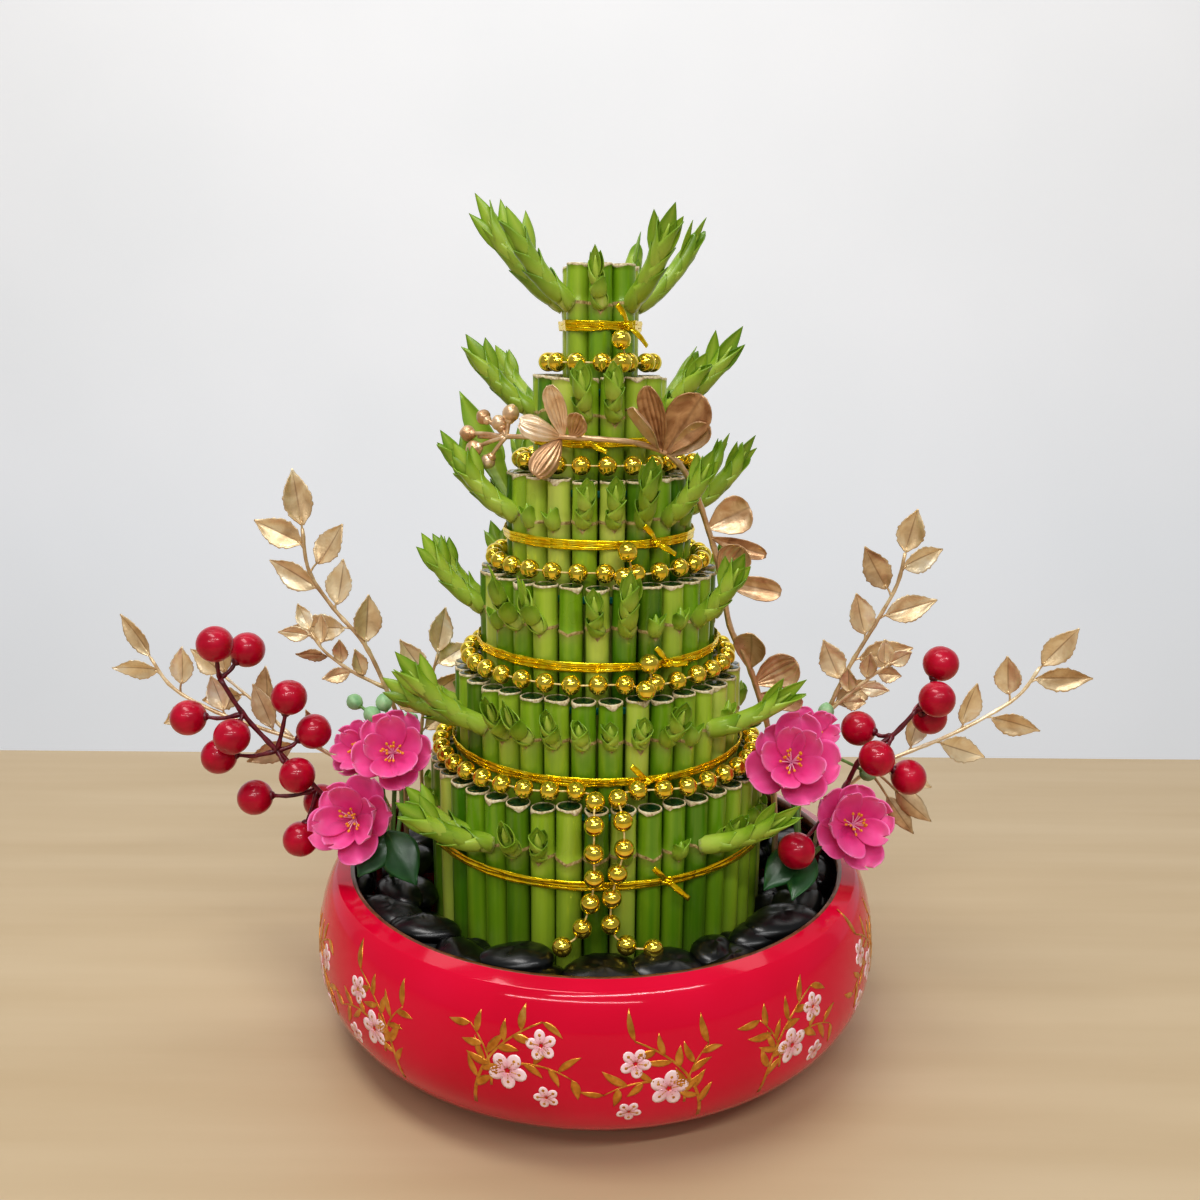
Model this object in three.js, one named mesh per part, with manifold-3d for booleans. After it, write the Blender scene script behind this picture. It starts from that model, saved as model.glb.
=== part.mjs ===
// A tower of lucky bamboo, six nested tiers of cut stalks, in a round red bowl filled with black
// pebbles. Gold foil ties and gold bead strings go round the tiers, and gold leaf sprays, berry
// sprays, pink blossoms and a copper branch stand in the pebbles.
// Millimetres, +Z up, -Y to the front, +X to the right. The origin is the middle of the bowl's
// flat underside. An azimuth is in degrees from the front, and grows towards +X.

import * as THREE from 'three';
import { mergeVertices } from 'three/addons/utils/BufferGeometryUtils.js';
import Module from 'manifold-3d';

const wasm = await Module();
wasm.setup();

// ---- driving dimensions ----

const GAP = 0.3;
const BOWL = {
  foot: 68, belly: 126, bellyHeight: 39.3, rim: 114, rimHeight: 74.5, lip: 109, wall: 5,
  floor: 77, lowerPower: 2.23, sides: 28,
};
const BED = { top: 59, hole: 75.8, holeFloor: 41.7, holeTop: 77, slack: 1 };
const STONE = { long: 12, wide: 7.2, thick: 7, tilt: 20, turn: 14, rise: 2 };
const STONES = [
  { ring: 85.6, count: 16, height: 59.5 },
  { ring: 98.6, count: 18, height: 61 },
];
const STALK = { corner: 5.75, overlap: 0.2, unevenTop: 1.6 };

// One row for each tier, from the outermost: its stalks, the radius of their ring, the heights of
// their tops, nodes and tie, and its shoots: the share of stalks that bear one, the lengths at
// the front and at the sides, the lean from upright at the sides and the azimuths kept clear, as
// pairs. Tall shoots are given one by one, as their stalk's azimuth, length, direction and lean.
// One tier also has a long leaf, from its root to its tip.
const TIERS = [
  {
    stalks: 41, ring: 70.2, top: 124, node: 103.5, tie: 92.9, tieSides: 18,
    share: 0.66, front: 14, side: 34, lean: 52, clear: [[-9, 16], [55, 125], [-135, -58]],
    tall: [[-44, 36, -78, 48], [-35, 46, -66, 58], [35, 47, 68, 59]],
  },
  {
    stalks: 34, ring: 58.6, top: 164.6, node: 146.5, tie: 131.5, tieSides: 16,
    share: 0.66, front: 14, side: 36, lean: 50, clear: [[58, 118], [-135, -92]],
    tall: [[-58, 42, -84, 62], [-48, 50, -74, 46], [48, 46, 76, 58]],
  },
  {
    stalks: 27, ring: 46.9, top: 207.4, node: 189.6, tie: 175.3, tieSides: 14,
    share: 0.72, front: 27, side: 40, lean: 38, clear: [[62, 92]],
  },
  {
    stalks: 20, ring: 35.2, top: 248.8, node: 230.9, tie: 222.5, tieSides: 12,
    share: 0.85, front: 24, side: 42, lean: 42, clear: [[55, 88]],
    longLeaf: [[-36.5, -5.8, 234], [-59.5, 2, 281]],
  },
  {
    stalks: 14, ring: 23.5, top: 289, node: 272.3, tie: 262, tieSides: 12,
    share: 0.8, front: 20, side: 44, lean: 42, clear: [[22, 62], [-50, -18]],
  },
  {
    stalks: 7, ring: 11.8, top: 333, node: 316.2, tie: 308, tieSides: 8,
    share: 0.9, front: 24, side: 52, lean: 40, clear: [],
  },
];
const LONG_LEAF = { width: 11, thick: 1, arch: 2, stations: [[0.3, 0.75], [0.6, 1]] };
const SHOOT = {
  root: 2.3, body: 2.6, barb: 5, long: 24, sink: 2.2, knee: 20, twist: 36, frontLean: 24,
  shortest: 0.8, range: 0.35,
};
const TIE = { height: 2.6, thick: 0.8, tailWidth: 2.2, tailLength: 11, tailDrop: 8, tailOut: 2.5 };
const TIE_TAIL = [[0.4, 1]];
const TIE_KNOTS = [22, 18, 32, 34, -9, 38];
const INNER_BAND = { height: 3, thick: 0.6, below: 9 };
const BEAD = { radius: 4, thread: 0.5, pitch: 10.7 };
const STRING = { clear: 0.9, clearLowest: 2.2, lift: 0.4, halfJoin: 5.4, turns: 16 };
const STRING_JOINS = [null, 3, 18, 12, 70, 18];
const FRONT_STRANDS = {
  right: [
    [22.5, -87, 72.5], [14, -86, 72.5], [7, -84, 77], [6, -82.5, 88], [8, -82.5, 100],
    [10.8, -82.5, 112], [10, -79, 124],
  ],
  left: [
    [-0.8, -79, 124], [-0.8, -82.5, 112], [-0.8, -82.5, 96], [-2.8, -82.5, 86], [-6.8, -84, 76],
    [-12.8, -86, 72.5],
  ],
};
const GOLD_LEAF_THICK = 0.9;
const BERRY = { radius: 7.8, wire: 1.1 };
const BLOSSOM = { seat: 1.2, neck: 9, lift: 0.25, inner: 0.68, innerLift: 0.4, innerRise: 2 };
const WIRE = { radius: 1.1, knee: 78, bud: 2.8 };

const COLOURS = {
  glaze: [0xd3122c, 0.18, 0], stone: [0x16171a, 0.25, 0], stalk: [0x5f8f2a, 0.45, 0],
  band: [0x1f9d95, 0.5, 0], foil: [0xe8b81c, 0.22, 1], bead: [0xdfae22, 0.12, 1],
  copper: [0xa5714f, 0.38, 0.8], gold: [0xc99f6a, 0.42, 0.7], berry: [0xb30f2a, 0.2, 0],
  petal: [0xe0408e, 0.6, 0], wire: [0x2f6a35, 0.5, 0],
};

// ---- small tools ----

const up = new THREE.Vector3(0, 0, 1);
const vec = (x, y, z) => new THREE.Vector3(x, y, z);
const radians = THREE.MathUtils.degToRad;

// The same plain generator gives the same draws on any machine: numbers from 0 to 1.
function draws(seed) {
  let state = seed;
  return () => {
    state = (state * 16807) % 2147483647;
    return state / 2147483647;
  };
}

function outward(azimuth) {
  return vec(Math.sin(radians(azimuth)), -Math.cos(radians(azimuth)), 0);
}

function sideways(azimuth) {
  return vec(Math.cos(radians(azimuth)), Math.sin(radians(azimuth)), 0);
}

function polar(azimuth, radius, height) {
  return outward(azimuth).multiplyScalar(radius).setZ(height);
}

// The point a lengths along u, b along v and c along w from start.
function from(start, u, a, v = up, b = 0, w = up, c = 0) {
  return start.clone().addScaledVector(u, a).addScaledVector(v, b).addScaledVector(w, c);
}

// A closed solid from any closed geometry, turned the right way out.
function solid(geometry) {
  const bare = geometry.clone();
  bare.deleteAttribute('normal');
  bare.deleteAttribute('uv');
  const merged = mergeVertices(bare, 1e-4);
  const points = new Float32Array(merged.attributes.position.array);
  const corners = new Uint32Array(merged.index.array);
  if (signedVolume(points, corners) < 0) {
    for (let i = 0; i < corners.length; i += 3) {
      [corners[i], corners[i + 1]] = [corners[i + 1], corners[i]];
    }
  }
  return new wasm.Manifold(new wasm.Mesh({
    numProp: 3, vertProperties: points, triVerts: corners,
  }));
}

function signedVolume(points, corners) {
  const corner = (i) => new THREE.Vector3().fromArray(points, corners[i] * 3);
  let total = 0;
  for (let i = 0; i < corners.length; i += 3) {
    total += corner(i).dot(corner(i + 1).cross(corner(i + 2)));
  }
  return total;
}

function join(solids) {
  return solids.reduce((whole, next) => whole.add(next));
}

// The biggest piece of a solid, without the scraps that a cut leaves loose.
function largest(piece) {
  return piece.decompose().reduce((best, next) => (next.volume() > best.volume() ? next : best));
}

const model = new THREE.Group();

function place(name, piece, [colour, roughness, metalness]) {
  const mesh = piece.getMesh();
  const geometry = new THREE.BufferGeometry();
  geometry.setAttribute('position', new THREE.BufferAttribute(mesh.vertProperties, 3));
  geometry.setIndex(new THREE.BufferAttribute(mesh.triVerts, 1));
  geometry.computeVertexNormals();
  const material = new THREE.MeshStandardMaterial({ color: colour, roughness, metalness });
  const node = new THREE.Mesh(geometry, material);
  node.name = name;
  model.add(node);
}

// ---- shapes that repeat ----

// A skin over a row of rings. A ring is a list of points; a ring of one point is a tip. The next
// ring has as many points as the last, or twice or half as many.
function loft(rings) {
  const starts = [];
  const points = [];
  for (const ring of rings) {
    starts.push(points.length);
    points.push(...ring);
  }
  const index = [];
  for (let i = 0; i + 1 < rings.length; i += 1) {
    stitch(index, starts[i], rings[i].length, starts[i + 1], rings[i + 1].length);
  }
  closeEnd(index, starts[0], rings[0].length, false);
  closeEnd(index, starts.at(-1), rings.at(-1).length, true);
  const geometry = new THREE.BufferGeometry().setFromPoints(points);
  geometry.setIndex(index);
  return geometry;
}

function closeEnd(index, start, count, last) {
  for (let i = 1; i + 1 < count; i += 1) {
    index.push(start, start + (last ? i : i + 1), start + (last ? i + 1 : i));
  }
}

function stitch(index, a, countA, b, countB) {
  const most = Math.max(countA, countB);
  for (let i = 0; i < most; i += 1) {
    const a0 = a + Math.floor((i * countA) / most) % countA;
    const a1 = a + Math.floor(((i + 1) * countA) / most) % countA;
    const b0 = b + Math.floor((i * countB) / most) % countB;
    const b1 = b + Math.floor(((i + 1) * countB) / most) % countB;
    if (a0 !== a1) index.push(a0, a1, b1);
    if (b0 !== b1) index.push(a0, b1, b0);
  }
}

// A blade from root to tip with a section like a flat diamond. Each station is a share of the
// length and of the width. The blade ends in a point, or square where the last station is 1.
function blade(root, tip, across, width, thick, stations, arch = 0) {
  const along = tip.clone().sub(root);
  const face = along.clone().cross(across).normalize();
  const side = face.clone().cross(along).normalize();
  const rings = stations.map(([share, wide]) => {
    const middle = from(root, along, share, face, 4 * arch * share * (1 - share));
    const half = (width / 2) * wide;
    return [
      from(middle, side, half), from(middle, face, thick / 2),
      from(middle, side, -half), from(middle, face, -thick / 2),
    ];
  });
  const end = stations.at(-1)[0] < 1 ? [[tip]] : [];
  return solid(loft([[root], ...rings, ...end]));
}

function circle(radius, sides) {
  return Array.from({ length: sides }, (unused, i) => {
    const turn = (2 * Math.PI * i) / sides;
    return new THREE.Vector2(radius * Math.cos(turn), radius * Math.sin(turn));
  });
}

// A round rod along a smooth curve through the points.
function rod(points, radius, steps, sides) {
  const outline = circle(radius, sides);
  const route = new THREE.CatmullRomCurve3(points, false, 'centripetal');
  return solid(new THREE.ExtrudeGeometry(new THREE.Shape(outline), {
    steps, extrudePath: route, bevelEnabled: false,
  }));
}

function ball(centre, radius, across, down) {
  const sphere = new THREE.SphereGeometry(radius, across, down);
  sphere.translate(centre.x, centre.y, centre.z);
  return solid(sphere);
}

// A ring or round body: the profile's points are radius and height.
function turned(profile, sides, azimuth = 0) {
  const points = profile.map(([radius, height]) => new THREE.Vector2(radius, height));
  const lathe = new THREE.LatheGeometry(points, sides);
  lathe.rotateX(Math.PI / 2);
  lathe.rotateZ(radians(azimuth));
  return solid(lathe);
}

function hoop(inner, outer, bottom, top, sides, azimuth = 0) {
  const grow = 1 / Math.cos(Math.PI / sides);
  const wide = outer + inner * (grow - 1);
  return turned([
    [inner * grow, bottom], [wide, bottom], [wide, top], [inner * grow, top], [inner * grow, bottom],
  ], sides, azimuth);
}

// ---- bowl and pebbles ----

// The wall's line from the foot to the rim: two quarter ovals that meet at the belly.
function wallLine({ foot, belly, bottom, mouth, top }, lowShares, highShares) {
  const line = [];
  for (const share of lowShares) {
    const turn = (Math.PI / 2) * share;
    const out = Math.sin(turn) ** (2 / BOWL.lowerPower);
    const rise = 1 - Math.cos(turn) ** (2 / BOWL.lowerPower);
    line.push([foot + (belly - foot) * out, bottom + (BOWL.bellyHeight - bottom) * rise]);
  }
  for (const share of highShares) {
    const turn = (Math.PI / 2) * share;
    line.push([
      mouth + (belly - mouth) * Math.cos(turn),
      BOWL.bellyHeight + (top - BOWL.bellyHeight) * Math.sin(turn),
    ]);
  }
  return line;
}

function innerWall(gap) {
  return wallLine({
    foot: BOWL.floor - gap, belly: BOWL.belly - BOWL.wall - gap, bottom: BOWL.wall + gap,
    mouth: BOWL.lip - gap, top: BOWL.rimHeight - BOWL.wall,
  }, [0, 0.5], [0, 0.6, 1]);
}

function makeBowl() {
  const outside = wallLine({
    foot: BOWL.foot, belly: BOWL.belly, bottom: 0, mouth: BOWL.rim, top: BOWL.rimHeight,
  }, [0, 0.35, 0.6, 0.8], [0, 0.4, 0.75, 1]);
  const inside = innerWall(0);
  place('bowl', turned([
    [0, 0], ...outside, [BOWL.lip, BOWL.rimHeight], ...inside.reverse(), [0, BOWL.wall],
  ], BOWL.sides), COLOURS.glaze);
}

function stone(ring, azimuth, height, random) {
  const shape = new THREE.SphereGeometry(1, 6, 3);
  shape.rotateX(Math.PI / 2);
  shape.scale(STONE.long + 2 * random(), STONE.wide + 0.7 * random(), STONE.thick + 1.5 * random());
  shape.rotateY(radians(STONE.tilt * (random() - 0.5)));
  shape.rotateZ(radians(azimuth + STONE.turn * (random() - 0.5)));
  const centre = polar(azimuth, ring, height + STONE.rise * random());
  shape.translate(centre.x, centre.y, centre.z);
  return solid(shape);
}

// The room between the tower and the bowl's wall, up to the given height.
function room(top) {
  const wall = innerWall(GAP);
  const above = wall.findIndex(([, height]) => height > top);
  const [[low, lowHeight], [high, highHeight]] = wall.slice(above - 1, above + 1);
  const reach = low + ((high - low) * (top - lowHeight)) / (highHeight - lowHeight);
  return turned([
    [BED.hole, BOWL.wall + GAP], ...wall.slice(0, above), [reach, top], [BED.hole, top],
    [BED.hole, BOWL.wall + GAP],
  ], BOWL.sides);
}

function makePebbles(stemRoots) {
  const random = draws(41);
  const stones = [];
  for (const { ring, count, height } of STONES) {
    for (let i = 0; i < count; i += 1) {
      stones.push(stone(ring, (360 / count) * (i + 0.25 * random()), height, random));
    }
  }
  let bed = join([room(BED.top), ...stones]);
  const depth = BED.holeTop - BED.holeFloor;
  for (const [root, radius] of stemRoots) {
    const hole = new THREE.CylinderGeometry(radius + BED.slack, radius + BED.slack, depth, 6);
    hole.rotateX(Math.PI / 2);
    hole.translate(root.x, root.y, BED.holeFloor + depth / 2);
    bed = bed.subtract(solid(hole));
  }
  place('pebbles', largest(bed), COLOURS.stone);
}

// ---- tiers of stalks ----

// A stalk's section is a hexagon with corners towards its neighbours. In a tight ring the
// hexagons are a little larger, so that neighbours still meet.
function cornerOf({ stalks, ring }) {
  const half = Math.PI / stalks;
  return Math.max(STALK.corner, (ring * Math.sin(half) + STALK.overlap) / Math.cos(half));
}

// The outside of the ring's outline: two corners of each hexagon, then the notch where it meets
// the next one.
function scallops(tier) {
  const corner = cornerOf(tier);
  const step = 360 / tier.stalks;
  const points = [];
  for (let i = 0; i < tier.stalks; i += 1) {
    const azimuth = step * (i + 0.5) - 180;
    const out = outward(azimuth);
    const side = sideways(azimuth);
    const centre = polar(azimuth, tier.ring, 0);
    const high = corner * Math.sin(Math.PI / 3);
    const near = from(centre, side, corner / 2, out, high);
    const far = from(centre, side, corner);
    const normal = sideways(azimuth + step / 2);
    const share = -near.dot(normal) / (far.dot(normal) - near.dot(normal));
    points.push(from(centre, side, -corner / 2, out, high), near, near.clone().lerp(far, share));
  }
  return points.map((point) => new THREE.Vector2(point.x, point.y));
}

// The inside of the outline has a flat on each stalk.
function flats(tier) {
  const reach = tier.ring - cornerOf(tier) * Math.sin(Math.PI / 3);
  const corners = Array.from({ length: tier.stalks }, (unused, i) => (
    polar((360 / tier.stalks) * i - 180, reach / Math.cos(Math.PI / tier.stalks), 0)
  ));
  return corners.map((point) => new THREE.Vector2(point.x, point.y));
}

// All the stalks of a tier, fused where they touch. The top of each stands at its own height.
function stalkRing(tier, tops) {
  const bottom = BOWL.wall + GAP;
  const outline = new THREE.Shape(scallops(tier));
  outline.holes.push(new THREE.Path(flats(tier)));
  const ring = new THREE.ExtrudeGeometry(outline, {
    depth: tier.top - bottom, steps: 1, bevelEnabled: false,
  });
  ring.translate(0, 0, bottom);
  const { position } = ring.attributes;
  const step = 360 / tier.stalks;
  for (let i = 0; i < position.count; i += 1) {
    if (position.getZ(i) < tier.node) continue;
    const azimuth = THREE.MathUtils.radToDeg(Math.atan2(position.getX(i), -position.getY(i)));
    const spot = (azimuth + 180) / step;
    position.setZ(i, topAt(tops, spot));
  }
  return solid(ring);
}

// Stalk i spans i to i + 1. A notch lies on a whole number, midway between two tops.
function topAt(tops, spot) {
  const count = tops.length;
  const near = Math.round(spot);
  if (Math.abs(spot - near) > 0.01) return tops[Math.floor(spot) % count];
  return (tops[near % count] + tops[(near + count - 1) % count]) / 2;
}

// A shoot leans out of its stalk and turns up. Its sheaths stand out on either side by turns: a
// section is a diamond whose corner on that side is drawn out and forward to the sheath's point.
function shoot(azimuth, { ring, node }, length, lean, twist) {
  const out = outward(twist);
  const side = sideways(twist);
  const root = polar(azimuth, ring + STALK.corner - SHOOT.sink, node);
  const bend = (turn, reach) => from(
    root, out, Math.sin(radians(turn)) * reach, up, Math.cos(radians(turn)) * reach,
  );
  const knee = bend(lean + SHOOT.knee, length * 0.45);
  const route = new THREE.QuadraticBezierCurve3(root, knee, bend(lean, length));
  const section = (share, radius, left, right) => {
    const along = route.getTangentAt(share);
    const face = along.clone().cross(side).normalize();
    const centre = route.getPointAt(share);
    const point = (reach) => from(
      centre, side, Math.sign(reach) * (radius + Math.abs(reach) * 0.5), along, Math.abs(reach),
    );
    return [
      left ? point(SHOOT.barb) : from(centre, side, radius), from(centre, face, radius),
      right ? point(-SHOOT.barb) : from(centre, side, -radius), from(centre, face, -radius),
    ];
  };
  const third = length > SHOOT.long ? [section(0.7, SHOOT.body * 0.7, true, false)] : [];
  return solid(loft([
    section(0, SHOOT.root, false, false), section(0.3, SHOOT.body, true, false),
    section(0.5, SHOOT.body, false, true), ...third, [route.getPointAt(1)],
  ]));
}

function makeTier(tier, number) {
  const random = draws(100 + number);
  const tops = [];
  const shoots = [];
  for (let i = 0; i < tier.stalks; i += 1) {
    const azimuth = (360 / tier.stalks) * (i + 0.5) - 180;
    tops.push(tier.top - STALK.unevenTop * random());
    const chance = random();
    const size = random();
    const twist = azimuth + SHOOT.twist * (random() - 0.5);
    const tall = tier.tall?.find(([place]) => Math.abs(place - azimuth) < 1);
    if (tall) {
      const [, length, way, lean] = tall;
      shoots.push(shoot(azimuth, tier, length, lean, way));
      continue;
    }
    const barred = tier.clear.some(([low, high]) => azimuth > low && azimuth < high);
    if (barred || chance > tier.share) continue;
    const aside = Math.abs(Math.sin(radians(azimuth)));
    const usual = tier.front + (tier.side - tier.front) * aside;
    const length = usual * (SHOOT.shortest + SHOOT.range * size);
    const lean = SHOOT.frontLean + (tier.lean - SHOOT.frontLean) * aside;
    shoots.push(shoot(azimuth, tier, length, lean, twist));
  }
  if (tier.longLeaf) {
    const [root, tip] = tier.longLeaf.map((point) => vec(...point));
    const { width, thick, arch, stations } = LONG_LEAF;
    shoots.push(blade(root, tip, vec(1, 0, 0.4), width, thick, stations, arch));
  }
  place(`tier_${number}`, join([stalkRing(tier, tops), ...shoots]), COLOURS.stalk);
}

function makeCentreStalk() {
  const bottom = BOWL.wall + GAP;
  const stalk = new THREE.CylinderGeometry(STALK.corner, STALK.corner, TIERS.at(-1).top - bottom, 6);
  stalk.rotateX(Math.PI / 2);
  stalk.translate(0, 0, (TIERS.at(-1).top + bottom) / 2);
  place('centre_stalk', solid(stalk), COLOURS.stalk);
}

// ---- ties, bands and bead strings ----

const tierReach = (tier) => tier.ring + cornerOf(tier) * Math.sin(Math.PI / 3) + 0.2;

function makeTie(tier, number) {
  const inner = tierReach(tier) + GAP;
  const azimuth = TIE_KNOTS[number - 1];
  const bottom = tier.tie - TIE.height / 2;
  const turn = azimuth + 180 / tier.tieSides;
  const wrap = hoop(inner, inner + TIE.thick, bottom, bottom + TIE.height, tier.tieSides, turn);
  const knot = polar(azimuth, inner + TIE.thick / 2, tier.tie);
  const side = sideways(azimuth);
  const beadTops = number > 1 ? TIERS[number - 2].top + 2 * BEAD.radius + 2 : 0;
  const drop = Math.max(-TIE.tailDrop, beadTops - tier.tie);
  const tails = [[-0.7, TIE.tailDrop], [0.75, drop]].map(([across, rise]) => {
    const tip = from(knot, side, TIE.tailLength * across, up, rise, outward(azimuth), TIE.tailOut);
    return blade(knot, tip, side, TIE.tailWidth, 1, TIE_TAIL);
  });
  place(`tie_${number}`, join([wrap, ...tails]), COLOURS.foil);
}

// A rubber band round an inner bundle, just below the next tier's tops.
function makeInnerBand(tier, number) {
  const corner = cornerOf(tier);
  const sides = tier.tieSides + 10;
  const reach = Math.hypot(tier.ring + corner * Math.sin(Math.PI / 3), corner / 2) + GAP - 0.1;
  const inner = reach / Math.cos(Math.PI / sides);
  const height = TIERS[number - 2].top - INNER_BAND.below;
  place(`band_${number}`, turned([
    [inner, height], [inner + INNER_BAND.thick, height + INNER_BAND.height / 2],
    [inner, height + INNER_BAND.height], [inner, height],
  ], sides), COLOURS.band);
}

// Beads at an even pitch on a thread: each bead is a five-sided double cone on a three-sided thread.
function beadChain(points) {
  const route = new THREE.CatmullRomCurve3(points, false, 'centripetal');
  const beads = Math.round(route.getLength() / BEAD.pitch);
  const rings = [];
  for (let i = 0; i <= beads; i += 1) {
    const centre = route.getPointAt(i / beads);
    const along = route.getTangentAt(i / beads);
    const out = vec(centre.x, centre.y, 0).normalize();
    const rise = along.clone().cross(out).normalize();
    const level = rise.clone().cross(along).normalize();
    const ring = (shift, radius, sides) => Array.from({ length: sides }, (unused, k) => {
      const turn = Math.PI / 2 + (2 * Math.PI * k) / sides;
      const middle = from(centre, along, shift);
      return from(middle, level, radius * Math.cos(turn), rise, radius * Math.sin(turn));
    });
    const after = i === beads ? BEAD.radius : BEAD.pitch / 2;
    if (i === 0) rings.push(ring(-BEAD.radius, BEAD.thread, 3));
    rings.push(ring(0, BEAD.radius, 5), ring(after, BEAD.thread, 3));
  }
  return solid(loft(rings));
}

// A string lies on the tops of the tier outside and goes once round the tier inside. Its ends
// meet at the join, one end bead above the other. On tier 2 they hang down the front instead.
function makeBeads(number) {
  const inside = TIERS[number - 1];
  const outside = TIERS[number - 2];
  const lowest = number === 2;
  const radius = tierReach(inside) + BEAD.radius + (lowest ? STRING.clearLowest : STRING.clear);
  const height = outside.top + BEAD.radius + STRING.lift;
  const meeting = STRING_JOINS[number - 1];
  const apart = THREE.MathUtils.radToDeg(STRING.halfJoin / radius);
  const points = Array.from({ length: STRING.turns + 1 }, (unused, i) => (
    polar(meeting + apart + ((360 - 2 * apart) * i) / STRING.turns, radius, height)
  ));
  if (lowest) {
    points.unshift(...FRONT_STRANDS.right.map((point) => vec(...point)));
    points.push(...FRONT_STRANDS.left.map((point) => vec(...point)));
  } else {
    points.unshift(polar(meeting + 2, radius + 2.5, height + 9));
    points.push(polar(meeting - 1, radius + 2 * BEAD.radius, height));
  }
  place(`beads_${number}`, beadChain(points), COLOURS.bead);
}

// ---- sprays, berries and blossoms ----

const SPRAY = { steps: 6, lastSide: 0.955, tip: 0.99, lean: 0.9, leanMore: 0.4, nod: 0.5, roll: 0.6 };
const LEAF_STATIONS = [[0.3, 0.8], [0.6, 1]];
const PETALS = 5;
const PETAL_EDGE = [[0, 0.45], [0.25, 0.9], [0.5, 1], [0.75, 0.9]];

// A leafy spray: a stem with leaves on either side by turns and one at its end. The first share
// of the stem is bare.
function spray({ route, radius, leaves, bare, length, width }, random) {
  const joints = new THREE.CatmullRomCurve3(route, false, 'centripetal').getSpacedPoints(SPRAY.steps);
  const pieces = [rod(route, radius, SPRAY.steps, 4)];
  const front = vec(0, -1, 0);
  for (let i = 0; i <= leaves; i += 1) {
    const last = i === leaves;
    const share = last ? SPRAY.tip : bare + ((SPRAY.lastSide - bare) * i) / (leaves - 1);
    const joint = Math.floor(share * SPRAY.steps);
    const along = joints[joint + 1].clone().sub(joints[joint]).normalize();
    const seat = joints[joint].clone().lerp(joints[joint + 1], share * SPRAY.steps - joint);
    const aside = along.clone().cross(front).normalize().multiplyScalar(i % 2 ? -1 : 1);
    const lean = last ? 0.1 : SPRAY.lean + SPRAY.leanMore * random();
    const nod = SPRAY.nod * (random() - 0.5);
    const way = from(along, aside, lean, front, nod).normalize();
    const root = from(seat, way, -radius * 0.4);
    const tip = from(root, way, length * (0.8 + 0.3 * random()));
    const across = along.clone().cross(front).addScaledVector(front, SPRAY.roll * (random() - 0.5));
    pieces.push(blade(root, tip, last ? across : along, width, GOLD_LEAF_THICK, LEAF_STATIONS, 1));
  }
  return join(pieces);
}

function berrySpray(trunk, twigs) {
  const pieces = [rod(trunk, BERRY.wire, 6, 4)];
  for (const [start, berry] of twigs) {
    pieces.push(rod([start, berry], BERRY.wire * 0.8, 1, 3), ball(berry, BERRY.radius, 6, 3));
  }
  return join(pieces);
}

// The edge of a whorl of petals: each petal is broad with a blunt end, and the notches between
// petals run in towards the middle. The petals lift towards the front.
function whorl(centre, axis, right, radius, lift, offset) {
  const top = axis.clone().cross(right);
  const outline = [];
  for (let i = 0; i < PETALS; i += 1) {
    for (const [share, reach] of PETAL_EDGE) {
      const turn = radians((360 / PETALS) * (i + share) + offset);
      const across = from(vec(0, 0, 0), right, Math.cos(turn), top, Math.sin(turn));
      outline.push(from(centre, across, radius * reach, axis, lift * reach * reach));
    }
  }
  return outline;
}

function disc(centre, axis, right, radius, count, offset) {
  const top = axis.clone().cross(right);
  return Array.from({ length: count }, (unused, i) => {
    const turn = radians((360 / count) * i + offset);
    return from(centre, right, radius * Math.cos(turn), top, radius * Math.sin(turn));
  });
}

// A double blossom in one skin: up the back to the broad petals' edge, in to the neck, out to the
// inner petals' edge, and in again to the bunch of stamens.
function blossom(centre, facing, radius, offset) {
  const axis = facing.clone().normalize();
  const right = up.clone().cross(axis).normalize();
  const count = PETALS * PETAL_EDGE.length;
  const inner = from(centre, axis, BLOSSOM.innerRise);
  return solid(loft([
    [from(centre, axis, -0.8)], whorl(centre, axis, right, radius, radius * BLOSSOM.lift, offset),
    disc(from(centre, axis, 1.1), axis, right, 2.6, count, offset),
    whorl(inner, axis, right, radius * BLOSSOM.inner, radius * BLOSSOM.innerLift, offset),
    disc(from(inner, axis, 1.2), axis, right, 1.8, PETALS, offset), [from(centre, axis, radius * 0.5)],
  ]));
}

// ---- the two groups of picks and the copper branch ----

const flat = (y, list) => list.map(([x, z, shift = 0]) => vec(x, y + shift, z));
const ROUND_LEAF = [[0.35, 0.85], [0.75, 0.95]];
const BROAD_LEAF = [[0.3, 0.8], [0.65, 0.9]];

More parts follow.
